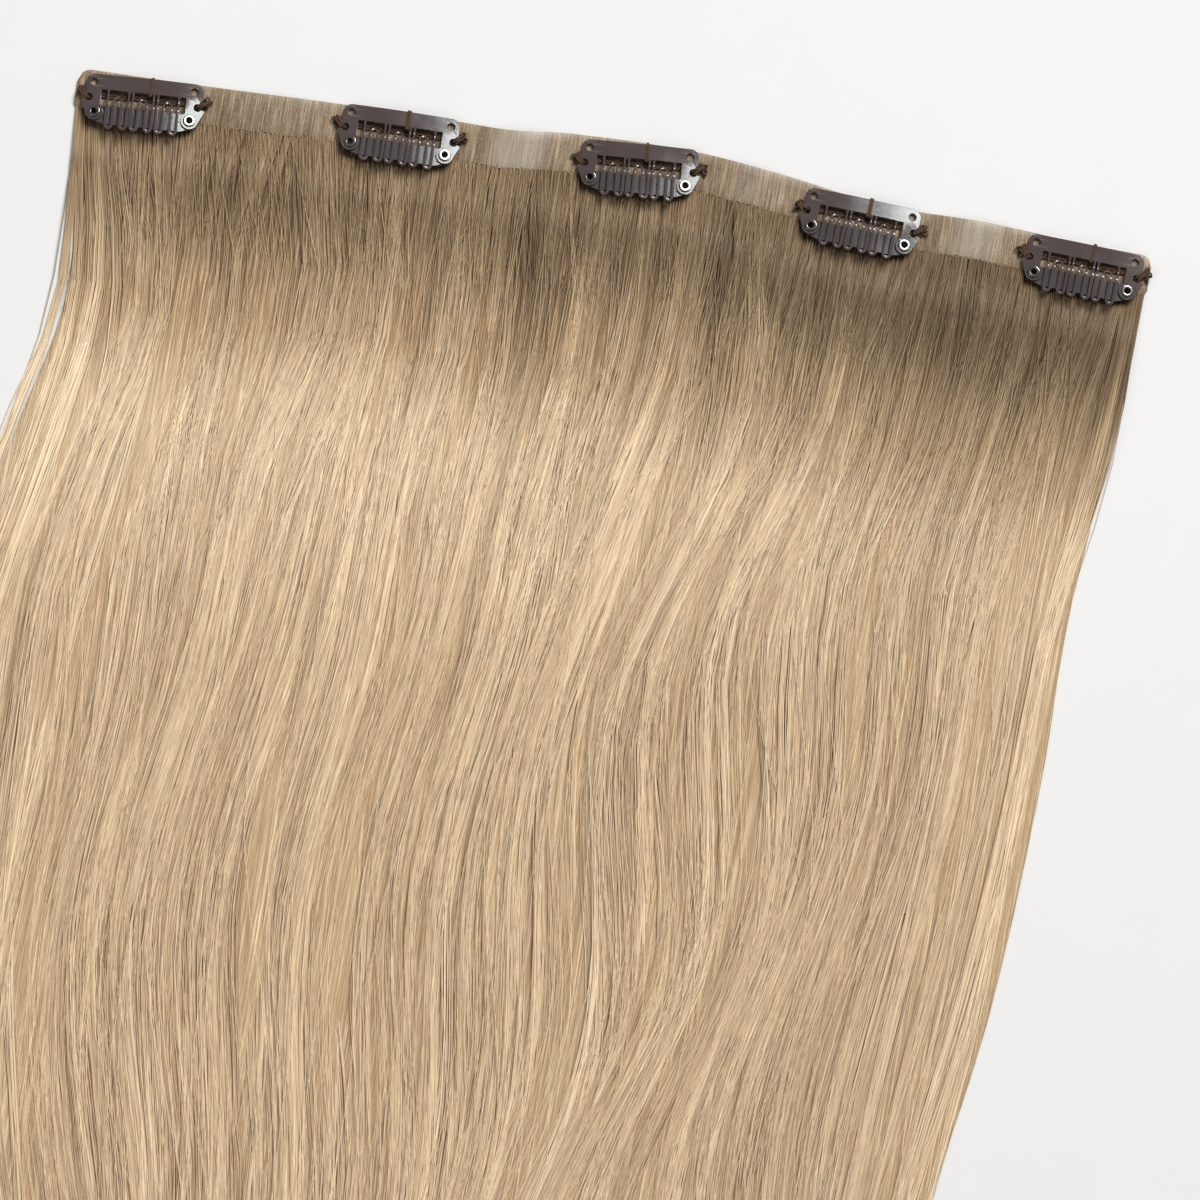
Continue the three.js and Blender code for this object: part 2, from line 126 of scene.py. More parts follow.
class Finish:
    """A node material with one Principled shader, whose nodes are added by node()."""

    def __init__(self, name, **constants):
        self.material = bpy.data.materials.new(name)
        self.material.use_nodes = True
        self.tree = self.material.node_tree
        self.shader = self.tree.nodes["Principled BSDF"]
        for socket, value in constants.items():
            self.shader.inputs[self.named(socket)].default_value = value

    def named(self, socket):
        """The shader's own name for a socket: base_color is Base Color."""
        return socket.replace("_", " ").title().replace("Ior", "IOR")

    def node(self, kind, settings=None, sockets=None, output=0):
        """Adds a node: its settings first, then values or wires for its sockets."""
        node = self.tree.nodes.new("ShaderNode" + kind)
        for setting, value in (settings or {}).items():
            if setting == "stops":
                self.set_stops(node.color_ramp, value)
            else:
                setattr(node, setting, value)
        for socket, value in (sockets or {}).items():
            self.feed(node.inputs[socket], value)
        return Wire(self, node.outputs[output])

    def set_stops(self, ramp, stops):
        """Gives a colour ramp its stops, as (place, colour) pairs."""
        while len(ramp.elements) < len(stops):
            ramp.elements.new(1.0)
        for element, (place, colour) in zip(ramp.elements, stops):
            element.position = place
            element.color = (*colour, 1.0)

    def feed(self, socket, value):
        """Links a wire to a socket, or sets the socket's own value."""
        if isinstance(value, Wire):
            self.tree.links.new(value.socket, socket)
        else:
            socket.default_value = value

    def reckon(self, operation, first, second):
        return self.node("Math", {"operation": operation}, {0: first, 1: second})

    def ease(self, value, low, high, to_low=0.0, to_high=1.0):
        """A smooth step of value from low to high."""
        settings = {"interpolation_type": "SMOOTHSTEP"}
        sockets = {"Value": value, "From Min": low, "From Max": high, "To Min": to_low, "To Max": to_high}
        return self.node("MapRange", settings, sockets)

    def blend(self, share, first, second):
        """A colour between two colours, at a share of the way."""
        first, second = [c if isinstance(c, Wire) else (*c, 1.0) for c in (first, second)]
        return self.node("Mix", {"data_type": "RGBA"}, {0: share, 6: first, 7: second}, output=2)

    def shade(self, colour, brightness):
        """A colour made lighter or darker by a number."""
        grey = self.node("CombineXYZ", {}, {"X": brightness, "Y": brightness, "Z": brightness})
        return self.node("VectorMath", {"operation": "MULTIPLY"}, {0: colour, 1: grey})

    def place(self, stretch=(1.0, 1.0, 1.0)):
        """Object coordinates, stretched along each axis."""
        coordinates = self.node("TexCoord", output=3)
        return self.node("Mapping", {"vector_type": "POINT"}, {"Vector": coordinates, "Scale": stretch})

    def noise(self, where, scale, detail=3.0, roughness=0.55):
        sockets = {"Vector": where, "Scale": scale, "Detail": detail, "Roughness": roughness}
        return self.node("TexNoise", {}, sockets)

    def attribute(self, name, output):
        """What mark() kept for the piece's points: a number is output 2, a triple output 1."""
        return self.node("Attribute", {"attribute_name": name}, output=output)

    def three(self, where):
        """The three parts of a triple."""
        first = self.node("SeparateXYZ", {}, {0: where})
        return [Wire(self, socket) for socket in first.socket.node.outputs]

    def wear(self, **wires):
        """Feeds what varies over the surface to the shader's sockets."""
        for socket, value in wires.items():
            self.feed(self.shader.inputs[self.named(socket)], value)
        return self.material

    def bump(self, height, distance, strength=1.0):
        sockets = {"Height": height, "Distance": distance, "Strength": strength}
        return self.node("Bump", {}, sockets)


ground_side = 6.0
ground_finish = Finish("ground", roughness=0.9)
paper_grain = ground_finish.noise(ground_finish.place(), 60.0)
paper = ground_finish.blend(paper_grain, (0.615, 0.616, 0.617), (0.63, 0.631, 0.632))
ground_finish.wear(base_color=paper)
ground_mesh = bpy.data.meshes.new("ground")
ground_corners = np.array([[-1, -1, 0], [1, -1, 0], [1, 1, 0], [-1, 1, 0]]) * ground_side / 2
ground_mesh.from_pydata(ground_corners, [], [(0, 1, 2, 3)])
ground_mesh.materials.append(ground_finish.material)
ground = bpy.data.objects.new("ground", ground_mesh)
bpy.context.scene.collection.objects.link(ground)


# Band. Hair roots held between two thin clear skins, cut to a strip 10.4 mm high. It bows
# gently, lies slack between the clips, and a fine row of machine stitches runs near its foot.
band_low, band_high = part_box("band")
half_band = (band_high.x - band_low.x) / 2
band_height = 10.4 * mm
band_thickness = 1.0 * mm
band_bow = 6.5 * mm
band_slack = 1.8 * mm
band_ripple = 0.12 * mm
band_corner = 3.0 * mm
band_foot_corner = 1.2 * mm
band_edge_round = 0.35 * mm
bow_along = [-1, -0.75, -0.5, -0.3, -0.2, -0.08, 0.13, 0.3, 0.45, 0.55, 0.68, 0.85, 1]
bow_rise = [0.08, 0.24, 0.46, 0.56, 0.58, 0.87, 1.0, 0.69, 0.27, 0.15, 0.19, 0.04, -0.03]
clip_along = np.array([-0.877, -0.402, 0.039, 0.461, 0.878])
clip_below = np.array([0.05, -0.02, 0.06, -0.01, 0.02])
clip_turn = np.radians([3.8, 1.3, 4.2, -2.4, -2.0])
slack_share = np.array([0.4, 1.0, 0.5, 0.9])
ear_reach = 16.2 * mm


def through(places, values, at):
    """Smooth curve through a table: each span is a cubic whose ends keep the slope between
    their neighbours, as part of one flowing line."""
    places = np.array(places, float)
    values = np.array(values, float)
    around_values = np.pad(values, 1, "edge")
    around_places = np.pad(places, 1, "edge")
    slopes = (around_values[2:] - around_values[:-2]) / (around_places[2:] - around_places[:-2])
    at = np.clip(at, places[0], places[-1])
    row = np.clip(np.searchsorted(places, at), 1, len(places) - 1)
    span = places[row] - places[row - 1]
    t = (at - places[row - 1]) / span
    rise = t * t * (3 - 2 * t)
    start_bend = (t - 1) ** 2 * t * span * slopes[row - 1]
    end_bend = (t - 1) * t * t * span * slopes[row]
    return values[row - 1] * (1 - rise) + values[row] * rise + start_bend + end_bend


def ease(value, low, high):
    """Smooth step from 0 at low to 1 at high."""
    t = np.clip((value - low) / (high - low), 0.0, 1.0)
    return t * t * (3 - 2 * t)


def band_middle(x):
    """Height of the band's middle line: the bow table, measured from its value at x 0."""
    return band_bow * (through(bow_along, bow_rise, x / half_band) - through(bow_along, bow_rise, 0.0))


def band_stand_off(x):
    """How far the band stands off the ground: a squared sine between each two clips."""
    start = (clip_along[:-1] * half_band + ear_reach)[:, None]
    end = (clip_along[1:] * half_band - ear_reach)[:, None]
    inside = np.clip((np.ravel(x)[None, :] - start) / (end - start), 0.0, 1.0)
    swell = np.sin(np.pi * inside) ** 2 * slack_share[:, None]
    return band_slack * swell.sum(0).reshape(np.shape(x))


def rounded_ring(width, height, radius, corner_steps, side_steps):
    """Closed outline of a box with round corners, centred on 0, anticlockwise."""
    turns = np.linspace(0.0, np.pi / 2, corner_steps + 1)
    arcs = []
    for quarter, (sx, sy) in enumerate([(1, 1), (-1, 1), (-1, -1), (1, -1)]):
        angle = turns + quarter * np.pi / 2
        centre = np.array([sx * (width / 2 - radius), sy * (height / 2 - radius)])
        arcs.append(centre + radius * np.stack([np.cos(angle), np.sin(angle)], 1))
    outline = []
    for quarter in range(4):
        outline.append(arcs[quarter])
        start, end = arcs[quarter][-1], arcs[(quarter + 1) % 4][0]
        shares = np.linspace(0.0, 1.0, side_steps + 1)[1:-1, None]
        outline.append(start + (end - start) * shares)
    return np.concatenate(outline)


def put_mesh(name, points, faces, material):
    """Puts a mesh in the scene. faces is a list of arrays, each with a row of corners a face."""
    mesh = bpy.data.meshes.new(name)
    mesh.vertices.add(len(points))
    mesh.vertices.foreach_set("co", np.ascontiguousarray(points, np.float32).ravel())
    corners = np.concatenate([rows.ravel() for rows in faces]).astype(np.int32)
    sizes = np.concatenate([np.full(len(rows), rows.shape[1]) for rows in faces])
    mesh.loops.add(len(corners))
    mesh.loops.foreach_set("vertex_index", corners)
    mesh.polygons.add(len(sizes))
    mesh.polygons.foreach_set("loop_start", np.concatenate([[0], np.cumsum(sizes)[:-1]]).astype(np.int32))
    mesh.update(calc_edges=True)
    mesh.shade_smooth()
    mesh.materials.append(material)
    thing = bpy.data.objects.new(name, mesh)
    bpy.context.scene.collection.objects.link(thing)
    return thing


def mark(piece, name, values):
    """Keeps a number or a triple for each point of a piece, which its finish can read."""
    kind, key = ("FLOAT", "value") if values.ndim == 1 else ("FLOAT_VECTOR", "vector")
    marks = piece.data.attributes.new(name, kind, "POINT")
    marks.data.foreach_set(key, values.astype(np.float32).ravel())


def tube_faces(tubes, stations, sides, looped=False):
    """Faces of tubes whose points run tube by tube, ring by ring. Open ends are closed by a
    fan to one point at each end, which come after the rings; looped tubes join up instead."""
    tube = np.arange(tubes)[:, None, None] * stations * sides
    ring = np.arange(stations if looped else stations - 1)[None, :, None]
    side = np.arange(sides)[None, None, :]
    next_ring = (ring + 1) % stations
    next_side = (side + 1) % sides
    quads = np.stack([
        tube + ring * sides + side,
        tube + ring * sides + next_side,
        tube + next_ring * sides + next_side,
        tube + next_ring * sides + side,
    ], -1).reshape(-1, 4)
    if looped:
        return [quads]
    side = np.arange(sides)[None, :]
    first = np.arange(tubes)[:, None] * stations * sides
    last = first + (stations - 1) * sides
    pole = tubes * stations * sides + 2 * np.arange(tubes)[:, None]
    start_fan = np.stack([pole + 0 * side, first + (side + 1) % sides, first + side], -1)
    end_fan = np.stack([pole + 1 + 0 * side, last + side, last + (side + 1) % sides], -1)
    return [quads, start_fan.reshape(-1, 3), end_fan.reshape(-1, 3)]


def tube_points(rings, looped=False):
    """Points for tube_faces from rings shaped (tubes, stations, sides, 3), with end points."""
    points = rings.reshape(-1, 3)
    if looped:
        return points
    ends = np.stack([rings[:, 0].mean(1), rings[:, -1].mean(1)], 1).reshape(-1, 3)
    return np.concatenate([points, ends])


upwards = (0.0, 0.0, 1.0)


def carried(path, profile, lead=upwards, looped=False):
    """Rings of a profile carried along paths shaped (tubes, stations, 3). The profile's first
    axis stays square to the lead direction and to the path, its second stands on both."""
    if looped:
        along = np.roll(path, -1, 1) - np.roll(path, 1, 1)
    else:
        along = np.gradient(path, axis=1)
    along /= np.linalg.norm(along, axis=-1, keepdims=True)
    across = np.cross(np.broadcast_to(lead, along.shape), along)
    across /= np.linalg.norm(across, axis=-1, keepdims=True)
    up = np.cross(along, across)
    profile = np.broadcast_to(profile, (*path.shape[:2], *np.shape(profile)[-2:]))
    return (
        path[:, :, None, :]
        + across[:, :, None, :] * profile[..., 0:1]
        + up[:, :, None, :] * profile[..., 1:2]
    )


def settle(piece, slot, *nodes):
    """The piece rides on the weft and stands for these nodes, whose parts are hidden. The slot is not used.
    """
    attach(piece, "root")
    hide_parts(*nodes)
    return piece


def band_skin():
    """The band's surface: a flat rounded box section carried along the bowed middle line,
    lifted by the slack and by a faint ripple, the product of two sines. Its height is eased
    at both ends so that the corners are round."""
    stations = 300
    ring = rounded_ring(band_height, band_thickness, band_edge_round, 3, 4)
    x = np.linspace(-half_band, half_band, stations)
    into_top = np.maximum(np.abs(x) - (half_band - band_corner), 0.0)
    into_foot = np.maximum(np.abs(x) - (half_band - band_foot_corner), 0.0)
    top_drop = band_corner - np.sqrt(np.maximum(band_corner**2 - into_top**2, 0.0))
    foot_rise = band_foot_corner - np.sqrt(np.maximum(band_foot_corner**2 - into_foot**2, 0.0))
    top = band_middle(x) + band_height / 2 - top_drop
    foot = band_middle(x) - band_height / 2 + foot_rise
    share = ring[:, 0] / band_height + 0.5
    y = foot[:, None] + (top - foot)[:, None] * share[None, :]
    level = ring[:, 1] + band_thickness / 2
    ripple = band_ripple * np.sin(x * 2 * np.pi / (11 * mm)) * np.sin(x * 2 * np.pi / (47 * mm))
    free = ease(band_stand_off(x), 0.0, 0.4 * mm)
    z = band_stand_off(x)[:, None] + level[None, :] + (ripple * free)[:, None]
    points = np.stack([np.broadcast_to(x[:, None], y.shape), y, np.maximum(z, 0.0)], -1)
    return points[None]


def band_material():
    """Hair lines square to the band under a satin skin, with a painted grey sheen where the skin stands slack
    and bows up to the light.
    """
    skin = Finish("band_skin", roughness=0.36, coat_roughness=0.3, coat_ior=1.45)
    wander = skin.noise(skin.place((1.0, 1.0, 1.0)), 90.0, 2.0)
    lines = skin.noise(skin.place((1.0, 0.03, 0.05)), 3600.0, 2.0, 0.6)
    broad = skin.noise(skin.place((1.0, 0.12, 0.2)), 300.0, 2.0)
    grain = skin.noise(skin.place((1.0, 0.6, 1.0)), 2600.0, 2.0, 0.7)
    hair = skin.node("ValToRGB", {"stops": [
        (0.34, (0.075, 0.045, 0.023)),
        (0.5, (0.18, 0.122, 0.07)),
        (0.66, (0.35, 0.262, 0.168)),
    ]}, {"Fac": lines * 0.72 + broad * 0.28})
    slack = skin.attribute("slack", 2)
    # Painted sheen: the skin's colour is greyed where it stands slack, for the light that its raised spans
    # catch; the same mask lifts the coat.
    painted_sheen = skin.ease(slack + (wander - 0.5) * 0.3, 0.2, 1.0) * 0.45
    colour = skin.blend(painted_sheen, hair, (0.36, 0.325, 0.265))
    colour = skin.blend(skin.ease(grain, 0.5, 0.68) * 0.22, colour, (0.44, 0.39, 0.315))
    relief = lines * 0.7 + grain * 0.3
    return skin.wear(
        base_color=colour,
        roughness=skin.ease(grain, 0.2, 0.8, 0.3, 0.5),
        coat_weight=painted_sheen * 0.3 + 0.1,
        normal=skin.bump(relief, 0.05 * mm, 0.5),
    )


band_rings = band_skin()
band = put_mesh(
    "band_skin",
    tube_points(band_rings),
    tube_faces(1, band_rings.shape[1], band_rings.shape[2]),
    band_material(),
)
mark(band, "slack", band_stand_off(tube_points(band_rings)[:, 0]) / band_slack)
settle(band, "band", "band")


def band_front(x):
    """Height of the band's front above the ground."""
    return band_stand_off(x) + band_thickness


seam_above_foot = 0.45 * mm
seam_pitch = 1.3 * mm
seam_stitch_length = 0.95 * mm
seam_thread_radius = 0.1 * mm
seam_end_gap = 2.0 * mm


def seam_stitches():
    """Machine stitches along the band's foot: short lengths of thread that dive into the
    skin at both ends, each an arch of half a sine."""
    count = int(2 * (half_band - seam_end_gap) / seam_pitch)
    random = np.random.default_rng(7)
    centre = (np.arange(count) - (count - 1) / 2) * seam_pitch + random.normal(0, 0.06 * mm, count)
    t = np.linspace(-1.0, 1.0, 7)
    x = centre[:, None] + t[None, :] * seam_stitch_length / 2
    foot = band_middle(x) - band_height / 2 + seam_above_foot
    y = foot + random.normal(0, 0.12 * mm, (count, 1)) + random.normal(0, 0.1 * mm, (count, 1)) * t
    z = band_front(x) + seam_thread_radius * (1.2 * np.cos(t * np.pi / 2)[None, :] - 0.6)
    turns = np.arange(6) * np.pi / 3
    profile = seam_thread_radius * np.stack([np.cos(turns), np.sin(turns)], 1)
    return carried(np.stack([x, y, z], -1), profile)


def thread_material(name, dark, light, twist_scale):
    """Twisted sewing thread: fine slanting plies with a dry, matt surface."""
    thread = Finish(name, roughness=0.7, specular_ior_level=0.25)
    plies = thread.node("TexWave", {"wave_type": "BANDS", "bands_direction": "DIAGONAL"}, {
        "Vector": thread.place(), "Scale": twist_scale, "Distortion": 2.0, "Detail": 1.0,
    }, output=1)
    fuzz = thread.noise(thread.place(), twist_scale * 2.0)
    colour = thread.blend(plies * 0.6 + fuzz * 0.4, dark, light)
    return thread.wear(base_color=colour, normal=thread.bump(plies, 0.06 * mm, 0.7))


seam_rings = seam_stitches()
seam = put_mesh(
    "seam_stitches",
    tube_points(seam_rings),
    tube_faces(*seam_rings.shape[:3]),
    thread_material("seam_thread", (0.05, 0.03, 0.017), (0.16, 0.10, 0.06), 900.0),
)
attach(seam, "root")


# Hair. Human hair, ash brown at the root and beige blonde from a hand's width down, lying
# flat in soft locks. Each lock is a dense body with hundreds of separate strands over it,
# which are fixed in the band side by side.
hair_length = 406.0 * mm
hair_thickness = 5.0 * mm
hair_gap = 0.3 * mm
lock_width = 27.0 * mm
lock_wave = 4.0 * mm
lock_wave_length = 175.0 * mm
crown_bluntness = 2.4
edge_down = [0.0, 0.12, 0.22, 0.32, 0.47, 0.6, 0.8, 1.0]
edge_left = [-0.995, -0.97, -1.03, -1.09, -1.1, -1.04, -0.92, -0.8]
edge_right = [0.995, 0.99, 0.975, 0.98, 0.962, 0.915, 0.86, 0.78]
form_down = [0.0, 0.07, 0.15, 0.25, 0.35, 0.46, 0.58, 0.7, 0.82, 0.91, 0.97, 1.0]
form_wide = [0.8, 0.95, 1.0, 1.02, 1.03, 1.02, 1.0, 0.98, 0.95, 0.85, 0.58, 0.26]
form_thick = [0.2, 0.34, 0.66, 0.9, 1.0, 0.96, 0.9, 0.8, 0.66, 0.5, 0.34, 0.2]
lock_root = np.array([0, 0.07, 0.14, 0.21, 0.29, 0.36, 0.43, 0.5, 0.57, 0.65, 0.72, 0.79, 0.86, 0.93, 1])
lock_tip = np.array([
    0.02, 0.05, 0.16, 0.22, 0.27, 0.38, 0.43, 0.51, 0.58, 0.64, 0.73, 0.8, 0.86, 0.94, 0.99,
])
lock_wide = np.array([
    0.95, 1.05, 0.9, 1.1, 0.95, 1.05, 0.9, 1.0, 1.1, 0.92, 1.02, 0.95, 1.05, 0.95, 0.9,
])
lock_thick = np.array([
    0.7, 0.95, 0.8, 1.0, 0.78, 0.92, 0.76, 0.95, 0.82, 1.0, 0.8, 0.94, 0.8, 0.88, 0.7,
])
lock_long = np.array([
    0.93, 0.98, 0.96, 1.0, 0.95, 0.99, 0.97, 1.0, 0.95, 0.99, 0.96, 1.0, 0.97, 0.99, 0.94,
])
lock_lean = np.array([
    0.12, -0.1, 0.15, -0.05, 0.1, -0.15, 0.05, 0.12, -0.1, 0.08, -0.06, 0.14, -0.12, 0.04, -0.1,
])
lock_start = np.array([
    0, 0.08, 0.02, 0.12, 0.05, 0.1, 0, 0.07, 0.14, 0.03, 0.09, 0.01, 0.11, 0.04, 0.06,
])


def hair_top(x):
    """Upper edge of the hair, just below the band."""
    return band_middle(x) - band_height / 2 - hair_gap


def lock_line(lock, down):
    """Middle of a lock across the weft: its place between the hair's two edges moves from
    root to tip, and a slow sine wave swings it most in the middle of the weft."""
    share = down / lock_long[lock]
    width = lock_width * lock_wide[lock] * through(form_down, form_wide, share)
    across = lock_root[lock] + (lock_tip[lock] - lock_root[lock]) * share
    left = through(edge_down, edge_left, down) * half_band + width / 2
    right = through(edge_down, edge_right, down) * half_band - width / 2
    start = 2 * np.pi * lock_start[lock]
    swing = np.sin(start + 2 * np.pi * down * hair_length / lock_wave_length) - np.sin(start)
    return left + (right - left) * across + lock_wave * swing * across * (1 - across) * 4, width


def lock_height(lock, down):
    """Height of a lock's crown above the ground."""
    return hair_thickness * lock_thick[lock] * through(form_down, form_thick, down / lock_long[lock])


def crown(across, lean):
    """Share of a lock's height at a place from -0.5 to 0.5 across it: a blunt arch whose
    highest line leans to one side, one less a power of the way to its foot."""
    side = np.where(across > lean, 0.5 - lean, 0.5 + lean)
    return 1.0 - np.abs((across - lean) / side) ** crown_bluntness


def hair_colours(hair, down, tone, streak):
    """Root, middle and tip colours along the hair, varied by the strand's own tone, with a painted
    cream highlight from about 45 to 140 mm down, weaker on the right. The right side is a shade
    deeper, and its dark roots reach a little further down."""
    across, _, _ = hair.three(hair.place())
    rightness = hair.ease(across, -0.1, 0.13)
    shadow_end = down + (tone - 0.5) * 0.05 + (streak - 0.5) * 0.03 - rightness * 0.01
    root = hair.blend(tone, (0.075, 0.043, 0.021), (0.41, 0.29, 0.178))
    root = hair.shade(root, 1.0 - rightness * 0.32)
    middle = hair.blend(tone, (0.28, 0.183, 0.096), (0.70, 0.53, 0.34))
    tip = hair.blend(tone, (0.47, 0.325, 0.19), (0.90, 0.728, 0.51))
    upper = hair.blend(hair.ease(shadow_end, 0.035, 0.125), root, middle)
    whole = hair.blend(hair.ease(shadow_end, 0.115, 0.185), upper, tip)
    # Painted highlight: a cream band a little below the roots, where the hair catches the light, weaker on
    # the right.
    painted_highlight = (hair.ease(down, 0.11, 0.19) - hair.ease(down, 0.2, 0.34)) * (0.3 - rightness * 0.2)
    return hair.shade(hair.blend(painted_highlight, whole, (0.95, 0.82, 0.62)), 1.0 - rightness * 0.06)


def strand_material():
    """Strands: each has its own tone, with a faint change of tone along it."""
    hair = Finish("hair_strands", specular_ior_level=0.34, specular_tint=(1.0, 0.88, 0.72, 1.0))
    tone, down, streak = hair.three(hair.attribute("strand", 1))
    drift = hair.noise(hair.place((1.0, 0.12, 1.0)), 80.0, 2.0)
    mixed = tone * 0.8 + streak * 0.08 + hair.ease(drift, 0.3, 0.7) * 0.12
    colour = hair_colours(hair, down, mixed, streak)
    return hair.wear(base_color=colour, roughness=hair.ease(tone, 0.0, 1.0, 0.32, 0.48))


def body_material():
    """The dense hair inside a lock: the same colours darkened by painted shade, most in the fine
    lines drawn out along the lock, for the shade deep among the hairs."""
    hair = Finish("hair_body", roughness=0.5, specular_ior_level=0.3)
    across, down, streak = hair.three(hair.attribute("strand", 1))
    where = hair.node("CombineXYZ", {}, {"X": across, "Y": down * 0.12, "Z": streak})
    fine = hair.noise(where, 95.0, 5.0, 0.75)
    broad = hair.noise(where, 22.0, 3.0, 0.6)
    sharp = hair.ease(fine, 0.34, 0.66)
    colour = hair_colours(hair, down, sharp * 0.7 + broad * 0.3, broad)
    # Painted shade: a warm darkening in the fine lines, for the shade between the hairs.
    painted_depth_shade = hair.blend(sharp, (0.78, 0.69, 0.6), (1.0, 0.96, 0.9))
    return hair.wear(
        base_color=hair.node("VectorMath", {"operation": "MULTIPLY"}, {0: colour, 1: painted_depth_shade}),
        normal=hair.bump(sharp, 0.3 * mm, 0.8),
    )


body_share = 0.81
body_half_width = 0.45
body_above_ground = 0.05 * mm
streak_width = 40.0 * mm


def lock_bodies():
    """Dense bodies of the locks: a blunt arch with a flat foot, carried down each lock. With
    them comes what the finish reads: the place across, the place down and the lock."""
    stations, sides = 70, 18
    lock = np.arange(len(lock_root))[:, None, None]
    share = np.linspace(0.0, 1.0, stations)[None, :, None] ** 1.15
    down = share * lock_long[lock]
    line, width = lock_line(lock, down)
    turn = (np.arange(sides) + 0.5) * 2 * np.pi / sides
    across = np.cos(turn)[None, None, :] * body_half_width
    over = (np.sin(turn) > 0)[None, None, :]
    height = lock_height(lock, down) * body_share
    z = np.where(over, height * crown(across, lock_lean[lock]), 0.0) + body_above_ground
    x = line + width * across
    y = hair_top(np.clip(x, -half_band, half_band)) - down * hair_length
    rings = np.stack([x, y, z], -1)
    marks = np.stack([x / streak_width, down + 0 * x, lock / len(lock_root) + 0 * x], -1)
    return rings, marks


body_rings, body_marks = lock_bodies()
body = put_mesh(
    "hair_body",
    tube_points(body_rings),
    tube_faces(*body_rings.shape[:3]),
    body_material(),
)
mark(body, "strand", tube_points(body_marks))
settle(body, "hair", "hair")


strand_stations = 21
strand_groups = 4
wisps_a_group = 60
strands_a_wisp = 23
root_width = (edge_right[0] - edge_left[0]) * half_band
root_tuck = 0.9 * mm
root_swell = 1.3 * mm
home_limit = 0.42
swing_reach = 5.5 * mm
swing_length = 165.0 * mm
swing_across = 1.5
sway_reach = 0.42 * mm
sway_shortest = 150.0 * mm
sway_longest = 320.0 * mm
shared_lean = 3.4 * mm
wisp_lean = 2.2 * mm
strand_lean = 0.9 * mm
wisp_half_width = 0.62
wander_reach = 0.2 * mm
stray_reach = 0.75 * mm
wisp_arch = 0.3 * mm
layer_low = -0.2 * mm
layer_high = 0.22 * mm
lowest_strand = 0.2 * mm


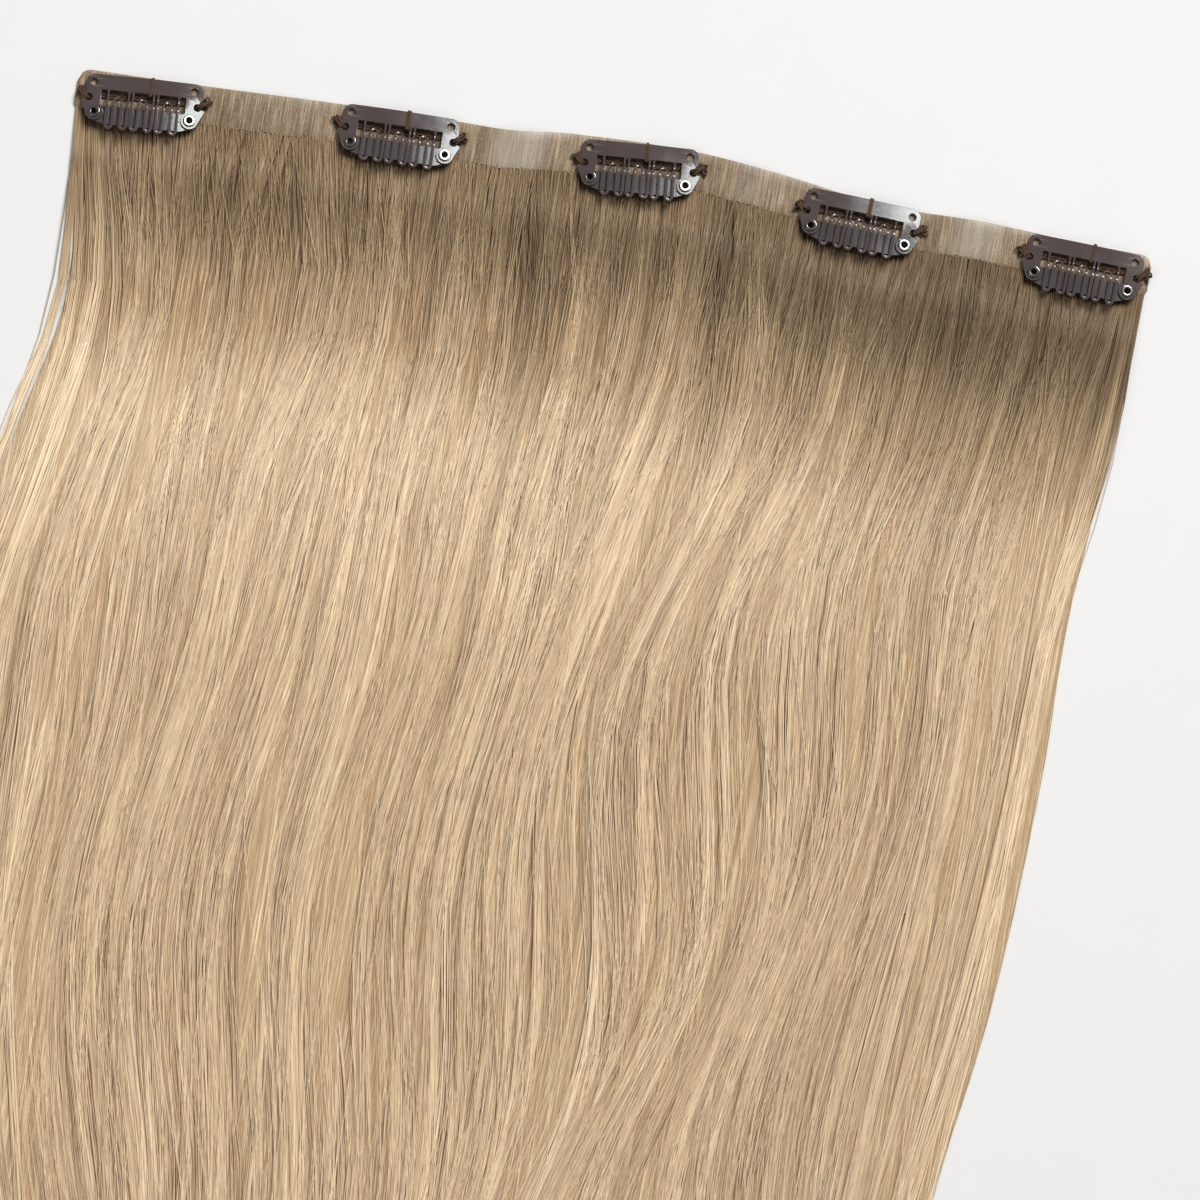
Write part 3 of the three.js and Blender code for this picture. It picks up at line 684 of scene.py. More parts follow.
def strand_paths(random, wisps, strands, stations, first, last, level):
    """Strands rooted evenly along the seam between two shares of its length, in thin wisps.
    A wisp's middle drifts from its even place at the root into its lock. It swings with its
    neighbours in a long S and sways a little by a sine of its own; it pinches and fans by
    another sine, and its top is a shallow arch at its own level of the lock's height. A
    strand keeps its side of its wisp and wanders a little. Returns the paths, how far down
    each point is, each strand's wisp, and a painted shade for wisps near the edge of their
    lock, for the shadow in the parting beside it."""
    count = wisps * strands
    wisp = np.repeat(np.arange(wisps), strands)

    def for_wisps(values):
        """One value for each wisp, repeated for its strands."""
        return values[wisp][:, None]

    # Each wisp's root, the lock that it joins, and its length.
    side = random.uniform(-1.0, 1.0, (count, 1))
    wisp_root = for_wisps(first + (last - first) * (np.arange(wisps) + 0.5) / wisps)
    from_middle = np.abs(2 * wisp_root - 1)
    at_lock = wisp_root * (len(lock_root) - 1) + for_wisps(random.normal(0, 0.3, wisps))
    lock = np.clip(np.round(at_lock), 0, len(lock_root) - 1).astype(int)
    long = lock_long[lock] * (1.0 - for_wisps(random.uniform(0, 0.07, wisps)))
    long = long * (1.0 - 0.06 * random.random((count, 1)) ** 3)
    share = np.linspace(0.0, 1.0, stations)[None, :] ** 1.08
    down = share * long
    line, width = lock_line(lock, np.minimum(down, lock_long[lock]))
    home = (at_lock - lock) * 0.75 + for_wisps(random.normal(0, 0.1, wisps))
    home = np.clip(home, -home_limit, home_limit)

    # The way of its middle: even at the root, then pulled to its lock, with swing and sway.
    even_left = through(edge_down, edge_left, down) * half_band
    even_right = through(edge_down, edge_right, down) * half_band
    even = even_left + (even_right - even_left) * wisp_root
    pull = ease(down, 0.0, 0.3) * for_wisps(random.uniform(0.5, 1.0, wisps))
    phase = [for_wisps(random.uniform(0, 2 * np.pi, wisps)) for _ in range(3)]
    sway_length = for_wisps(random.uniform(sway_shortest, sway_longest, wisps))
    sway_turn = 2 * np.pi * down * hair_length / sway_length
    sway = for_wisps(random.gamma(2.2, sway_reach, wisps)) * ease(down, 0.02, 0.35)
    swing_start = 2 * np.pi * (swing_across * wisp_root + 0.17 * np.sin(9.0 * wisp_root))
    swing = np.sin(swing_start + 2 * np.pi * down * hair_length / swing_length)
    swing = swing * swing_reach * ease(down, 0.06, 0.36) * ease(1 - from_middle, 0.0, 0.3)
    outer = ease(from_middle, 0.93, 1.0)
    lean = through(np.linspace(first, last, 9), random.normal(0, shared_lean, 9), wisp_root)
    lean = lean + for_wisps(random.normal(0, wisp_lean, wisps))
    lean = lean + random.normal(0, strand_lean, (count, 1))
    lean = lean * (1 - outer) * ease(down, 0.0, 0.08) * (1 - ease(down, 0.08, 0.3))
    middle = even + (line + width * home - even) * pull
    middle = middle + sway * np.sin(phase[0] + sway_turn) + swing + lean

    # The strand's own place beside that middle.
    fan = 1.0 + for_wisps(random.uniform(0.2, 1.5, wisps)) * ease(down, 0.02, 0.25)
    pinch = 0.5 + 0.5 * np.sin(phase[1] + down * for_wisps(random.uniform(12.0, 24.0, wisps)))
    half_width = root_width * (last - first) / wisps * wisp_half_width * fan
    half_width = half_width * (1 - 0.3 * pinch * ease(down, 0.04, 0.2)) * (1 - 0.5 * ease(share, 0.8, 1.0))
    own_phase = random.uniform(0, 2 * np.pi, (count, 2))
    wander = np.sin(own_phase[:, :1] + down * 11.0) + 0.5 * np.sin(own_phase[:, 1:] + down * 29.0)
    reach = random.gamma(1.5, wander_reach, (count, 1)) * ease(down, 0.0, 0.2)
    stray = random.gamma(1.2, stray_reach, (count, 1)) * outer * np.sign(wisp_root - 0.5)
    stray = stray * ease(down, 0.0, 0.1) * (0.55 + 0.45 * np.sin(own_phase[:, :1] + down * 17.0))
    x = middle + side * half_width + wander * reach + stray

    # Its height: out of the band at the root, then over its lock in its own layer.
    in_lock = np.clip((x - line) / width, -0.48, 0.48)
    lock_z = lock_height(lock, down) * crown(in_lock, lock_lean[lock]) * for_wisps(level)
    arch = wisp_arch * (1 - side**2) * ease(down, 0.01, 0.12)
    roots = band_stand_off(x) + random.uniform(0.45, 0.95, (count, 1)) * band_thickness
    settled = ease(down, 0.0, 0.05)
    layer = random.uniform(layer_low, layer_high, (count, 1)) * settled
    z = roots * (1 - settled) + np.maximum(lock_z, root_swell * (1 - ease(down, 0.0, 0.25))) * settled
    z = np.maximum(z + arch + layer, lowest_strand)
    y = hair_top(np.clip(x, -half_band, half_band)) + root_tuck - down * (hair_length + root_tuck)
    # Painted shade: wisps whose home is near the edge of their lock are darkened further down, for the shadow
    # in the parting between locks.
    painted_parting_shade = ease(np.abs(home), 0.24, 0.42) * for_wisps(random.random(wisps)) * ease(down, 0.12, 0.32)
    return np.stack([x, y, z], -1), down, wisp, painted_parting_shade


def put_strands(name, random, path, down, tone, streak, thickness):
    """Three-sided strands along their paths, drawn out at the tip. Each side of a strand has
    a slightly different tone."""
    turns = np.arange(3) * 2 * np.pi / 3
    share = np.linspace(0.0, 1.0, path.shape[1])[None, :]
    taper = 1.0 - 0.72 * ease(share, 0.72, 1.0)
    radius = (thickness * taper / 2)[..., None, None]
    angle = turns[None, None, :] + random.random((path.shape[0], 1, 1)) * 2 * np.pi
    rings = carried(path, np.stack([np.cos(angle), np.sin(angle)], -1) * radius)
    strands = put_mesh(name, tube_points(rings), tube_faces(*rings.shape[:3]), strand_finish)
    sides = np.clip(tone[:, :, None] + random.normal(0, 0.08, (path.shape[0], 1, 3)), 0, 1)
    marks = [np.broadcast_to(part, rings.shape[:3]) for part in (sides, down[..., None], streak[..., None])]
    mark(strands, "strand", tube_points(np.stack(marks, -1)))
    settle(strands, "hair", "hair")


strand_finish = strand_material()
tone_bands = 14
lowest_level = 0.8
highest_level = 1.04
thinnest_strand = 0.155 * mm
thickness_spread = 0.26 * mm
for group in range(strand_groups):
    random = np.random.default_rng(100 + group)
    first, last = group / strand_groups, (group + 1) / strand_groups
    level = random.uniform(lowest_level, highest_level, wisps_a_group)
    path, down, wisp, painted_parting_shade = strand_paths(
        random, wisps_a_group, strands_a_wisp, strand_stations, first, last, level
    )
    # Painted shade: wisps that lie lower in the lock get a darker tone and the highest a lighter one, for the
    # light each gets.
    painted_level_shade = ease(level, lowest_level, highest_level)
    band_places = np.linspace(0, tone_bands - 1, wisps_a_group)
    band_tone = through(np.arange(tone_bands), random.random(tone_bands), band_places)
    wisp_tone = 0.3 * painted_level_shade + 0.35 * band_tone + 0.35 * random.random(wisps_a_group)
    own_tone = random.beta(0.8, 0.8, (len(wisp), 1))
    own_share = 0.48 - 0.14 * ease(down, 0.2, 0.5)
    place = first + (last - first) * wisp[:, None] / wisps_a_group
    # Painted light: the outermost wisps are lightened below the roots, for the light that the hair's edges
    # catch.
    painted_edge_light = 0.24 * ease(np.abs(2 * place - 1), 0.94, 1.0) * ease(down, 0.06, 0.22)
    tone = (1 - own_share) * wisp_tone[wisp][:, None] + own_share * own_tone
    # Painted shade in the partings darkens the tone, and painted edge light lightens the outermost wisps.
    tone = tone - 0.42 * painted_parting_shade + painted_edge_light
    streak = random.random(wisps_a_group)[wisp][:, None]
    thickness = thinnest_strand + thickness_spread * random.random((len(wisp), 1)) ** 1.8
    put_strands(f"hair_strands_{group + 1}", random, path, down, tone, streak, thickness)


flyaways = 360
flyaway_stations = 20
flyaway_drift = 8.0 * mm
flyaway_curl = 3.0 * mm
flyaway_lift = 0.9 * mm
flyaway_rise = (0.2 * mm, 1.4 * mm)
flyaway_thickness = (0.13 * mm, 0.2 * mm)


def flyaway_paths(random, count, stations):
    """Stray hairs: long shallow arcs that leave their lock and cross their neighbours, each
    with a slow sine of its own."""
    level = random.uniform(1.0, 1.1, count)
    path, down, _, _ = strand_paths(random, count, 1, stations, 0.05, 0.94, level)
    share = np.linspace(0.0, 1.0, stations)[None, :]
    start = random.uniform(0.02, 0.6, (count, 1))
    leave = ease(share, start, start + 0.3)
    drift = random.normal(0, flyaway_drift, (count, 1)) * leave
    curl = random.normal(0, flyaway_curl, (count, 1)) * leave
    path[..., 0] += drift + curl * np.sin(share * random.uniform(4, 11, (count, 1)))
    path[..., 2] += flyaway_lift + leave * random.uniform(*flyaway_rise, (count, 1))
    return path, down


random = np.random.default_rng(31)
path, down = flyaway_paths(random, flyaways, flyaway_stations)
put_strands(
    "flyaway_hairs", random, path, down,
    random.uniform(0.6, 1.0, (flyaways, 1)), random.random((flyaways, 1)),
    random.uniform(*flyaway_thickness, (flyaways, 1)),
)


# Clip plates. Each is stamped from half-millimetre steel, enamelled taupe brown: a rail to
# sew to the band, an arm at each end, and twelve teeth bent into six loops below the rail.
fit_gap = 0.3 * mm
plate_thickness = 0.5 * mm
plate_edge = 0.09 * mm
rail_width = 30.8 * mm
rail_height = 4.05 * mm
rail_corner = 2.2 * mm
sew_hole_radius = 1.0 * mm
sew_hole_spacing = 26.3 * mm
sew_hole_drop = 2.15 * mm
arm_gap = 22.2 * mm
arm_end_radius = 2.3 * mm
notch_radius = 1.0 * mm
notch_spacing = 28.6 * mm
notch_drop = 6.25 * mm
ear_spacing = 32.4 * mm
ear_drop = 7.4 * mm
rivet_spacing = 25.0 * mm
rivet_drop = 10.0 * mm
rivet_barrel_radius = 1.1 * mm
rivet_play = 0.1 * mm
rivet_foot_radius = 1.45 * mm
rivet_foot_thickness = 0.25 * mm
bar_thickness = 0.5 * mm
bar_back = fit_gap + bar_thickness
rivet_foot_depth = bar_back + fit_gap + rivet_foot_thickness
clip_tilt = math.atan2(rivet_foot_depth, rivet_drop - rivet_foot_radius)
clip_bow = 0.95 * mm
clip_lean = clip_tilt + np.radians([-0.4, 1.2, -1.0, 1.7, -2.2])
clip_bend = np.array([0.065, 0.02, 0.04, -0.03, 0.0])


def on_band(points, clip):
    """Moves points drawn round a clip's rail to that clip's place on the band's front."""
    turn = clip_turn[clip]
    x, y, z = np.moveaxis(points, -1, 0)
    at_x = clip_along[clip] * half_band
    at_y = band_middle(at_x) + band_height * (0.5 - clip_below[clip])
    return np.stack([
        at_x + x * np.cos(turn) - y * np.sin(turn),
        at_y + x * np.sin(turn) + y * np.cos(turn),
        band_thickness + z,
    ], -1)


def bowed(x):
    """Rise of the sprung plate along its width: a parabola, highest in the middle."""
    return clip_bow * (1.0 - (x / (rail_width / 2)) ** 2)


def bent(y, clip):
    """Rise of the arms and teeth, which a slight bend along the rail's foot turns."""
    return clip_bend[clip] * np.maximum(-rail_height - y, 0.0)


def on_clip(points, clip):
    """Moves points of the flat clip to their place: bowed along its width, bent up a little
    below the rail, then tilted so that its teeth stand off the band."""
    x, y, z = np.moveaxis(points, -1, 0)
    z = z + bowed(x) + bent(y, clip)
    cosine, sine = math.cos(clip_lean[clip]), math.sin(clip_lean[clip])
    return on_band(np.stack([x, y * cosine + z * sine, z * cosine - y * sine + fit_gap], -1), clip)


def arc(x, y, radius, start, end, steps):
    """Points of an arc in the plane, its angles in degrees."""
    angle = np.radians(np.linspace(start, end, steps + 1))
    return np.stack([x + radius * np.cos(angle), y + radius * np.sin(angle)], 1)


def hole(x, y, radius):
    """A round hole's outline, clockwise."""
    return arc(x, y, radius, 360, 15, 23)


def rivet_hole(side):
    """Outline of the hole that an eyelet passes through, with a little play round it."""
    return hole(side * rivet_spacing / 2, -rivet_drop, rivet_barrel_radius + rivet_play)


def mirrored(right_half):
    """A right half followed by its mirror image, in one outline."""
    return np.concatenate([right_half, right_half[::-1] * (-1, 1)])


def stamped(name, outlines, thickness, edge, back):
    """A flat stamping with holes and eased edges, cut into narrow strips so that it can bow.
    Returns its points and its three-cornered faces."""
    curve = bpy.data.curves.new(name, "CURVE")
    curve.dimensions = "2D"
    curve.fill_mode = "BOTH"
    curve.extrude = thickness / 2 - edge
    curve.bevel_depth = edge
    curve.bevel_resolution = 1
    curve.offset = -edge
    for outline in outlines:
        spline = curve.splines.new("POLY")
        spline.points.add(len(outline) - 1)
        flat = np.concatenate([outline, np.zeros((len(outline), 1)), np.ones((len(outline), 1))], 1)
        spline.points.foreach_set("co", flat.ravel())
        spline.use_cyclic_u = True
    drawn = bpy.data.objects.new(name, curve)
    mesh = bpy.data.meshes.new_from_object(drawn)
    cut = bmesh.new()
    cut.from_mesh(mesh)
    bmesh.ops.remove_doubles(cut, verts=cut.verts, dist=0.002 * mm)
    reach = np.abs(outlines[0][:, 0]).max()
    for x in np.linspace(-reach, reach, 19)[1:-1]:
        everything = cut.verts[:] + cut.edges[:] + cut.faces[:]
        bmesh.ops.bisect_plane(cut, geom=everything, dist=1e-7, plane_co=(x, 0, 0), plane_no=(1, 0, 0))
    bmesh.ops.triangulate(cut, faces=cut.faces)
    bmesh.ops.recalc_face_normals(cut, faces=cut.faces)
    cut.to_mesh(mesh)
    cut.free()
    points = np.empty(len(mesh.vertices) * 3, np.float32)
    mesh.vertices.foreach_get("co", points)
    faces = np.empty(len(mesh.polygons) * 3, np.int32)
    mesh.polygons.foreach_get("vertices", faces)
    bpy.data.objects.remove(drawn)
    bpy.data.curves.remove(curve)
    bpy.data.meshes.remove(mesh)
    return points.reshape(-1, 3) + (0, 0, back + thickness / 2), faces.reshape(-1, 3)


def plate_outlines():
    """Outline of the rail and its two arms, then its sewing holes and rivet holes."""
    rail_end = rail_width / 2
    notch_x = notch_spacing / 2
    rivet_x = rivet_spacing / 2
    arm_inside = arm_gap / 2
    arm_angle = math.degrees(math.acos((arm_inside - rivet_x) / arm_end_radius))
    lip_y = notch_radius * math.sin(math.radians(26)) - notch_drop
    right_half = np.concatenate([
        arc(rail_end - rail_corner, -rail_corner, rail_corner, 90, 0, 10),
        [[rail_end, lip_y]],
        arc(notch_x, -notch_drop, notch_radius, 26, 334, 20),
        arc(ear_spacing / 2 - 0.25 * mm, -ear_drop + 0.2 * mm, 0.25 * mm, 60, -45, 4),
        arc(rivet_x, -rivet_drop, arm_end_radius, -20, arm_angle - 360, 24),
        [[arm_inside, -rail_height]],
    ])
    holes = []
    for side in (-1, 1):
        holes.append(hole(side * sew_hole_spacing / 2, -sew_hole_drop, sew_hole_radius))
        holes.append(rivet_hole(side))
    return [mirrored(right_half)[::-1], *holes]


tooth_width = 0.8 * mm
tooth_group_spacing = 6.55 * mm
outer_tooth_spacing = 5.46 * mm
inner_tooth_spacing = 2.06 * mm
tooth_length = 14.55 * mm
tooth_arch_drop = 5.45 * mm
tooth_lift = 0.7 * mm
rise_along = [0.0, 0.12, 0.45, 0.6, 0.9, 1.0, 1.1, 1.25]
rise_off = [0.0, -0.13, -0.264, 0.016, 0.754, 0.915, 0.945, 0.87]
tooth_neck = 0.58
bar_drop = 8.25 * mm


def tooth_section():
    """Section of a tooth: a flat front with a shallow shoulder at each side, and a flat back."""
    half_width, half_depth = tooth_width / 2, plate_thickness * 0.46
    right = np.array([
        [half_width, half_depth - 0.1 * mm],
        [half_width - 0.025 * mm, half_depth - 0.045 * mm],
        [half_width - 0.065 * mm, half_depth - 0.012 * mm],
        [half_width - 0.12 * mm, half_depth],
    ])
    back = np.array([[-half_width, -half_depth], [half_width, -half_depth]])
    return np.concatenate([right, right[::-1] * (-1, 1), back])


def tooth_rings():
    """Three groups of teeth: a rounded strip carried down, round a loop, up, over an arch and
    the same way back. Its narrow neck dips behind the rail and rises over the bar's upper
    edge, and from there the tooth slopes down to its tip."""
    outer, inner = outer_tooth_spacing / 2, inner_tooth_spacing / 2
    loop_radius = (outer - inner) / 2
    loop_y = -tooth_length + tooth_width / 2 + loop_radius
    arch_y = -tooth_arch_drop - tooth_width / 2 - inner
    rise_y = 2 * fit_gap - bar_drop
    kink_end = rise_y - 0.4 * mm
    down_run = np.linspace(-rail_height + tooth_width / 2, kink_end, 26)
    up_run = np.linspace(kink_end, arch_y - 0.1 * mm, 12)
    half = np.concatenate([
        np.stack([np.full(26, -outer), down_run], 1),
        arc(-outer + loop_radius, loop_y, loop_radius, 180, 360, 12),
        np.stack([np.full(12, -inner), up_run], 1),
        arc(0.0, arch_y, inner, 180, 90, 7),
    ])
    line = np.concatenate([half, half[-2::-1] * (-1, 1)])
    share = (line[:, 1] + rail_height) / (rise_y + rail_height)
    tip_share = (rail_height - tooth_length) / (rise_y + rail_height)
    stand_off = tooth_lift * through([*rise_along, tip_share], [*rise_off, 0.0], share)
    path = np.concatenate([line, (stand_off + plate_thickness / 2)[:, None]], 1)
    groups = np.array([-1.0, 0.0, 1.0])[:, None, None] * (tooth_group_spacing, 0.0, 0.0)
    narrow = 1.0 - (1.0 - tooth_neck) * np.sin(np.pi * np.clip(share, 0.0, 1.0)) ** 0.7
    profile = tooth_section()[None, :, :] * np.stack([narrow, np.ones_like(narrow)], 1)[:, None, :]
    return carried(path[None] + groups, profile[None])


def enamel_material(name, base, worn, roughness):
    """Enamelled steel: a taupe coat with fine orange peel, a few fine scuffs, and edges where
    the coat is rubbed thinner."""
    steel = Finish(name, specular_ior_level=0.34, specular_tint=(0.9, 0.98, 1.0, 1.0), coat_roughness=0.08)
    peel = steel.noise(steel.place(), 900.0, 2.0)
    cloud = steel.noise(steel.place(), 130.0, 3.0)
    scuff = steel.ease(steel.noise(steel.place((1.0, 5.0, 1.0)), 700.0, 4.0, 0.7), 0.62, 0.78)
    rubbed = steel.ease(steel.node("NewGeometry", output=7), 0.53, 0.6)
    colour = steel.blend(rubbed * 0.5 + scuff * 0.2, steel.blend(cloud, base, worn), (0.16, 0.13, 0.125))
    return steel.wear(
        base_color=colour,
        roughness=steel.ease(cloud + scuff * 0.4, 0.2, 1.0, roughness, roughness + 0.14),
        coat_weight=0.12 - scuff * 0.1,
        normal=steel.bump(peel, 0.02 * mm, 0.35),
    )


crease_angle = math.radians(20)
plate_finish = enamel_material("plate_enamel", (0.051, 0.037, 0.036), (0.063, 0.047, 0.046), 0.1)
plate_points, plate_faces = stamped("plate", plate_outlines(), plate_thickness, plate_edge, 0.0)
teeth = tooth_rings()
teeth_points = tube_points(teeth)
teeth_faces = [rows + len(plate_points) for rows in tube_faces(*teeth.shape[:3])]
clip_points = np.concatenate([plate_points, teeth_points])

for clip in range(len(clip_along)):
    comb = put_mesh(
        f"clip_{clip + 1}_plate_and_teeth",
        on_clip(clip_points, clip),
        [plate_faces, *teeth_faces],
        plate_finish,
    )
    comb.data.set_sharp_from_angle(angle=crease_angle)
    settle(comb, "clip_steel", f"clip_{clip + 1}_comb")


# Clip bars. A strip of spring steel behind the teeth, riveted at both ends and bowed with
# the plate, which gives the clip its snap. It grips the hair against the teeth.
bar_height = 4.9 * mm
bar_end_radius = 2.2 * mm
bar_flat_half = 10.0 * mm


def bar_outlines():
    """Outline of the bar with a rounded end round each rivet, then its rivet holes."""
    rivet_x = rivet_spacing / 2
    right_half = np.concatenate([
        [[bar_flat_half, -bar_drop]],
        arc(rivet_x, -rivet_drop, bar_end_radius, 75, -75, 16),
        [[bar_flat_half, -bar_drop - bar_height]],
    ])
    return [mirrored(right_half)[::-1], rivet_hole(-1), rivet_hole(1)]


bar_finish = enamel_material("bar_enamel", (0.042, 0.038, 0.038), (0.058, 0.053, 0.053), 0.1)
bar_points, bar_faces = stamped("bar", bar_outlines(), bar_thickness, plate_edge, -bar_back)
for clip in range(len(clip_along)):
    bar = put_mesh(f"clip_{clip + 1}_spring_bar", on_clip(bar_points, clip), [bar_faces], bar_finish)
    bar.data.set_sharp_from_angle(angle=crease_angle)
    settle(bar, "clip_steel", f"clip_{clip + 1}_bar")


# Clip rivets. Brass eyelets under the same enamel, rolled over at both ends to hold plate and
# bar together, with the coat rubbed through to bright metal round the rim.
rivet_bore_radius = 0.78 * mm
rivet_head_radius = 1.62 * mm
rivet_head_thickness = 0.42 * mm


def eyelet_rings():
    """An eyelet: its rolled outline, a round head and a thin foot, turned about its axis."""
    head = plate_thickness + 0.05 * mm
    roll = 0.12 * mm
    top = head + rivet_head_thickness
    outline = np.concatenate([
        [[rivet_bore_radius, -rivet_foot_depth]],
        arc(rivet_bore_radius + roll, top - roll, roll, 180, 90, 4),
        arc(rivet_head_radius - 2 * roll, top - 2 * roll, 2 * roll, 90, -20, 6),
        [
            [rivet_barrel_radius, head],
            [rivet_barrel_radius, -bar_back - fit_gap],
            [rivet_foot_radius, -bar_back - fit_gap],
            [rivet_foot_radius, -rivet_foot_depth],
        ],
    ])
    turns = np.arange(32) * 2 * np.pi / 32
    radius, level = outline[None, :, 0], outline[None, :, 1]
    x = radius * np.cos(turns)[:, None]
    y = radius * np.sin(turns)[:, None]
    return np.stack([x, y, np.broadcast_to(level, x.shape)], -1)[None]


def rivet_material():
    """Enamel worn bright on the rolled rim."""
    rivet = Finish("eyelet_enamel", metallic=0.9, specular_ior_level=0.6)
    wear = rivet.noise(rivet.place(), 800.0, 3.0)
    rim = rivet.attribute("rim", 2)
    bright = rivet.ease(rim + (wear - 0.5) * 0.35, 0.45, 0.85)
    colour = rivet.blend(bright, (0.06, 0.05, 0.048), (0.17, 0.163, 0.157))
    return rivet.wear(base_color=colour, roughness=rivet.ease(bright, 0.0, 1.0, 0.32, 0.16))


rivet_finish = rivet_material()
eyelet = eyelet_rings()
eyelet_faces = tube_faces(*eyelet.shape[:3], looped=True)
eyelet_points = tube_points(eyelet, looped=True)
rim_height = ease(eyelet_points[:, 2], plate_thickness, plate_thickness + rivet_head_thickness)
for clip in range(len(clip_along)):
    for end, side in (("left", -1), ("right", 1)):
        at = (side * rivet_spacing / 2, -rivet_drop, 0.0)
        rivet = put_mesh(
            f"clip_{clip + 1}_eyelet_{end}", on_clip(eyelet_points + at, clip), eyelet_faces, rivet_finish
        )
        mark(rivet, "rim", rim_height)
        settle(rivet, "eyelet", f"clip_{clip + 1}_rivet_{end}")


# Sewing thread. Doubled dark brown thread ties each clip to the band: several turns through
# each side notch that end in a knot, a run from notch to notch behind the rail, and a few
# turns round the rail.
thread_radius = 0.22 * mm
notch_turns = 4
back_strands = 6
stitch_reach = 2.5 * mm
stitch_climb = 2.1 * mm
rail_stitch_x = 1.8 * mm
rail_thread_turns = [2, 3, 2, 3, 2]


def plate_front(x, y, clip):
    """Height of the plate's front above the band at a place on the clip."""
    leaned = -np.minimum(y, 0.0) * math.tan(clip_lean[clip])
    return fit_gap + bowed(x) + bent(y, clip) + leaned + plate_thickness


def side_turns(side, random, turns, clip):
    """Turns of thread through a side notch: ovals that stand across the plate's lip, each
    pulled a little askew."""
    notch = np.array([side * notch_spacing / 2, -notch_drop])
    outside = notch + (side * stitch_reach, stitch_climb)
    t = np.linspace(0.0, 2 * np.pi, 28, endpoint=False)[None, :]
    run = (outside - notch) / 2
    square = np.array([-run[1], run[0]]) / np.linalg.norm(run)
    aside = (np.arange(turns)[:, None] - (turns - 1) / 2) * 0.36 * mm
    aside = aside + random.normal(0, 0.34 * mm, (turns, 1)) * np.cos(t) + 0.2 * mm * np.sin(t)
    reach = 1.0 + random.normal(0, 0.08, (turns, 1))
    middle = (notch + outside) / 2
    x = middle[0] + run[0] * reach * np.cos(t) + square[0] * aside
    y = middle[1] + run[1] * reach * np.cos(t) + square[1] * aside
    front = plate_front(middle[0], middle[1], clip)
    top = front + thread_radius * (1.4 + 0.6 * random.random((turns, 1)))
    base = thread_radius * 1.1
    z = (top + base) / 2 + (top - base) / 2 * np.sin(t)
    return np.stack([x, y, z], -1)


def knot_turn(side, random):
    """A knot beside the notch: one thread wound round in a tight three-lobed curl."""
    t = np.linspace(0.0, 2 * np.pi, 60, endpoint=False)
    centre = np.array([side * (notch_spacing / 2 + stitch_reach * 0.85), -notch_drop + stitch_climb * 0.7])
    centre = centre + random.normal(0, 0.35 * mm, 2)
    spin = random.random() * 2 * np.pi
    size = random.uniform(0.44 * mm, 0.6 * mm)
    x = centre[0] + size * (np.sin(t + spin) + 1.6 * np.sin(2 * t + spin))
    y = centre[1] + size * (np.cos(t + spin) - 1.6 * np.cos(2 * t + spin))
    z = 0.85 * mm - 0.5 * mm * np.sin(3 * t)
    return np.stack([x, y, z], -1)[None]


def rail_turns(random, turns, clip):
    """Turns of thread round the rail: rounded boxes that hug its front and pass behind it."""
    t = np.linspace(0.0, 2 * np.pi, 40, endpoint=False)[None, :]
    high, low = 0.45 * mm, -rail_height - 0.35 * mm
    squared = np.sign(np.cos(t)) * np.abs(np.cos(t)) ** 0.35
    y = (high + low) / 2 + (high - low) / 2 * squared + random.normal(0, 0.05 * mm, (turns, 1))
    aside = (np.arange(turns)[:, None] - (turns - 1) / 2) * 0.36 * mm
    x = rail_stitch_x + aside + random.normal(0, 0.1 * mm, (turns, 1)) * np.cos(t)
    x = x + 0.07 * mm * np.sin(3 * t + random.uniform(0, 6, (turns, 1)))
    front = plate_front(x, y, clip) + thread_radius * 0.9
    back = front - plate_thickness - thread_radius * 1.9
    level = np.sign(np.sin(t)) * np.abs(np.sin(t)) ** 0.35
    return np.stack([x, y, (front + back) / 2 + (front - back) / 2 * level], -1)


# The run is real thread, laid three lanes wide under the rail so that it also stands in for the shadow that
# the rail casts into the windows.
def back_run(random, strands):
    """The thread's way behind the rail from notch to notch: strands that lie on the band and
    twist round each other, dropping to the notches at both ends by a smooth step."""
    t = np.linspace(-1.0, 1.0, 60)[None, :]
    turn = t * 24.0 + np.arange(strands)[:, None] * 2 * np.pi / strands
    lane = np.arange(strands)[:, None] % 3
    x = np.broadcast_to(t * notch_spacing / 2, turn.shape)
    at_notch = ease(np.abs(t), 0.72, 1.0)
    y = -rail_height - 0.4 * mm - lane * 0.55 * mm + 0.16 * mm * np.cos(turn)
    y = y + random.normal(0, 0.08 * mm, (strands, 1)) + 0.15 * mm * np.sin(t * 7.0 + lane)
    y = y * (1 - at_notch) - notch_drop * at_notch
    z = thread_radius * (1.75 + 0.75 * np.sin(turn)) + 0.1 * mm
    return np.stack([x, y, z], -1)


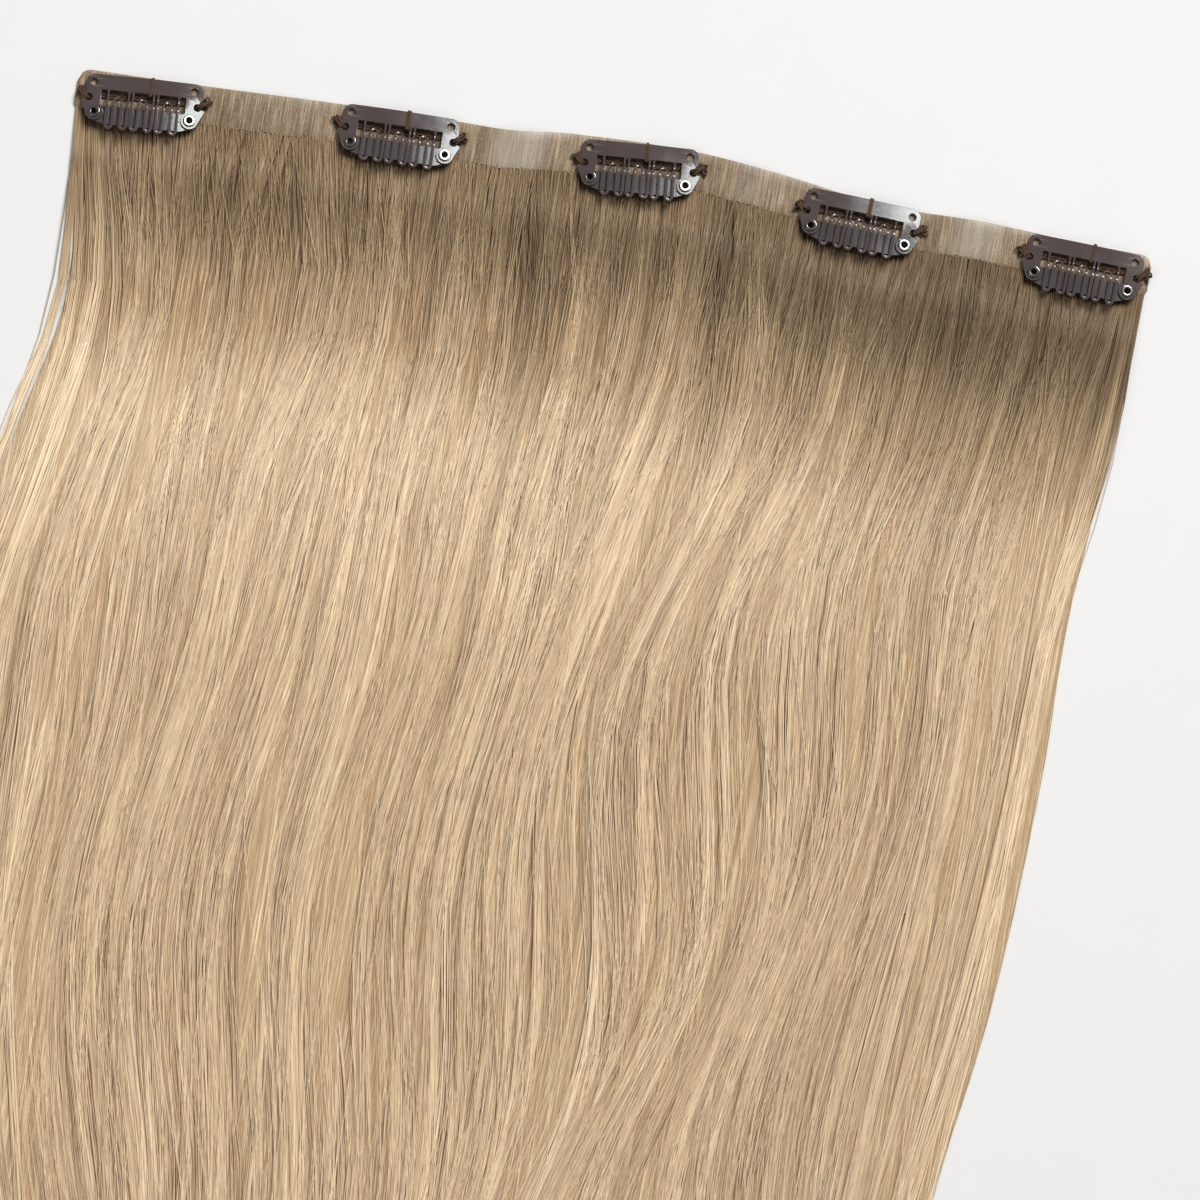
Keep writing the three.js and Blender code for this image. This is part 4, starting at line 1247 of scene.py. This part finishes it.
def loose_end(side, random, length):
    """A cut thread end that curls away from the knot and lies down on the hair."""
    t = np.linspace(0.0, 1.0, 12)
    heading = random.uniform(-0.9, 0.5)
    x = side * (notch_spacing / 2 + stitch_reach * 0.8 + length * t * math.cos(heading) * (1 - 0.3 * t))
    y = -notch_drop + stitch_climb * 0.6 + length * t * math.sin(heading) - 0.6 * mm * t * t
    z = 0.9 * mm - 0.55 * mm * t
    return np.stack([x, y, z], -1)[None]


def thread_parts(paths, looped, lead, clip):
    """Points and faces of round threads along their paths on one clip."""
    turns = np.arange(7) * 2 * np.pi / 7
    profile = thread_radius * np.stack([np.cos(turns), np.sin(turns)], 1)
    rings = carried(paths, profile, lead, looped)
    return on_band(tube_points(rings, looped), clip), tube_faces(*rings.shape[:3], looped=looped)


def put_threads(name, parts, node):
    """Joins threads into one piece."""
    points, faces, count = [], [], 0
    for part_points, part_faces in parts:
        points.append(part_points)
        faces += [rows + count for rows in part_faces]
        count += len(part_points)
    piece = put_mesh(name, np.concatenate(points), faces, thread_finish)
    return settle(piece, "thread", node)


thread_finish = thread_material("sewing_thread", (0.010, 0.005, 0.003), (0.115, 0.064, 0.036), 1500.0)
for clip in range(len(clip_along)):
    random = np.random.default_rng(60 + clip)
    for end, side in (("left", -1), ("right", 1)):
        tilted = (0.35, 0.3, 1.0)
        put_threads(f"clip_{clip + 1}_thread_{end}", [
            thread_parts(side_turns(side, random, notch_turns, clip), True, (-0.65 * side, 0.76, 0.02), clip),
            thread_parts(knot_turn(side, random), True, tilted, clip),
            thread_parts(knot_turn(side, random), True, tilted, clip),
            thread_parts(loose_end(side, random, random.uniform(1.0 * mm, 2.2 * mm)), False, tilted, clip),
        ], f"clip_{clip + 1}_stitch_{end}")
    put_threads(f"clip_{clip + 1}_thread_middle", [
        thread_parts(rail_turns(random, rail_thread_turns[clip], clip), True, (1.0, 0.0, 0.0), clip),
        thread_parts(back_run(random, back_strands), False, upwards, clip),
    ], f"clip_{clip + 1}_stitch_middle")
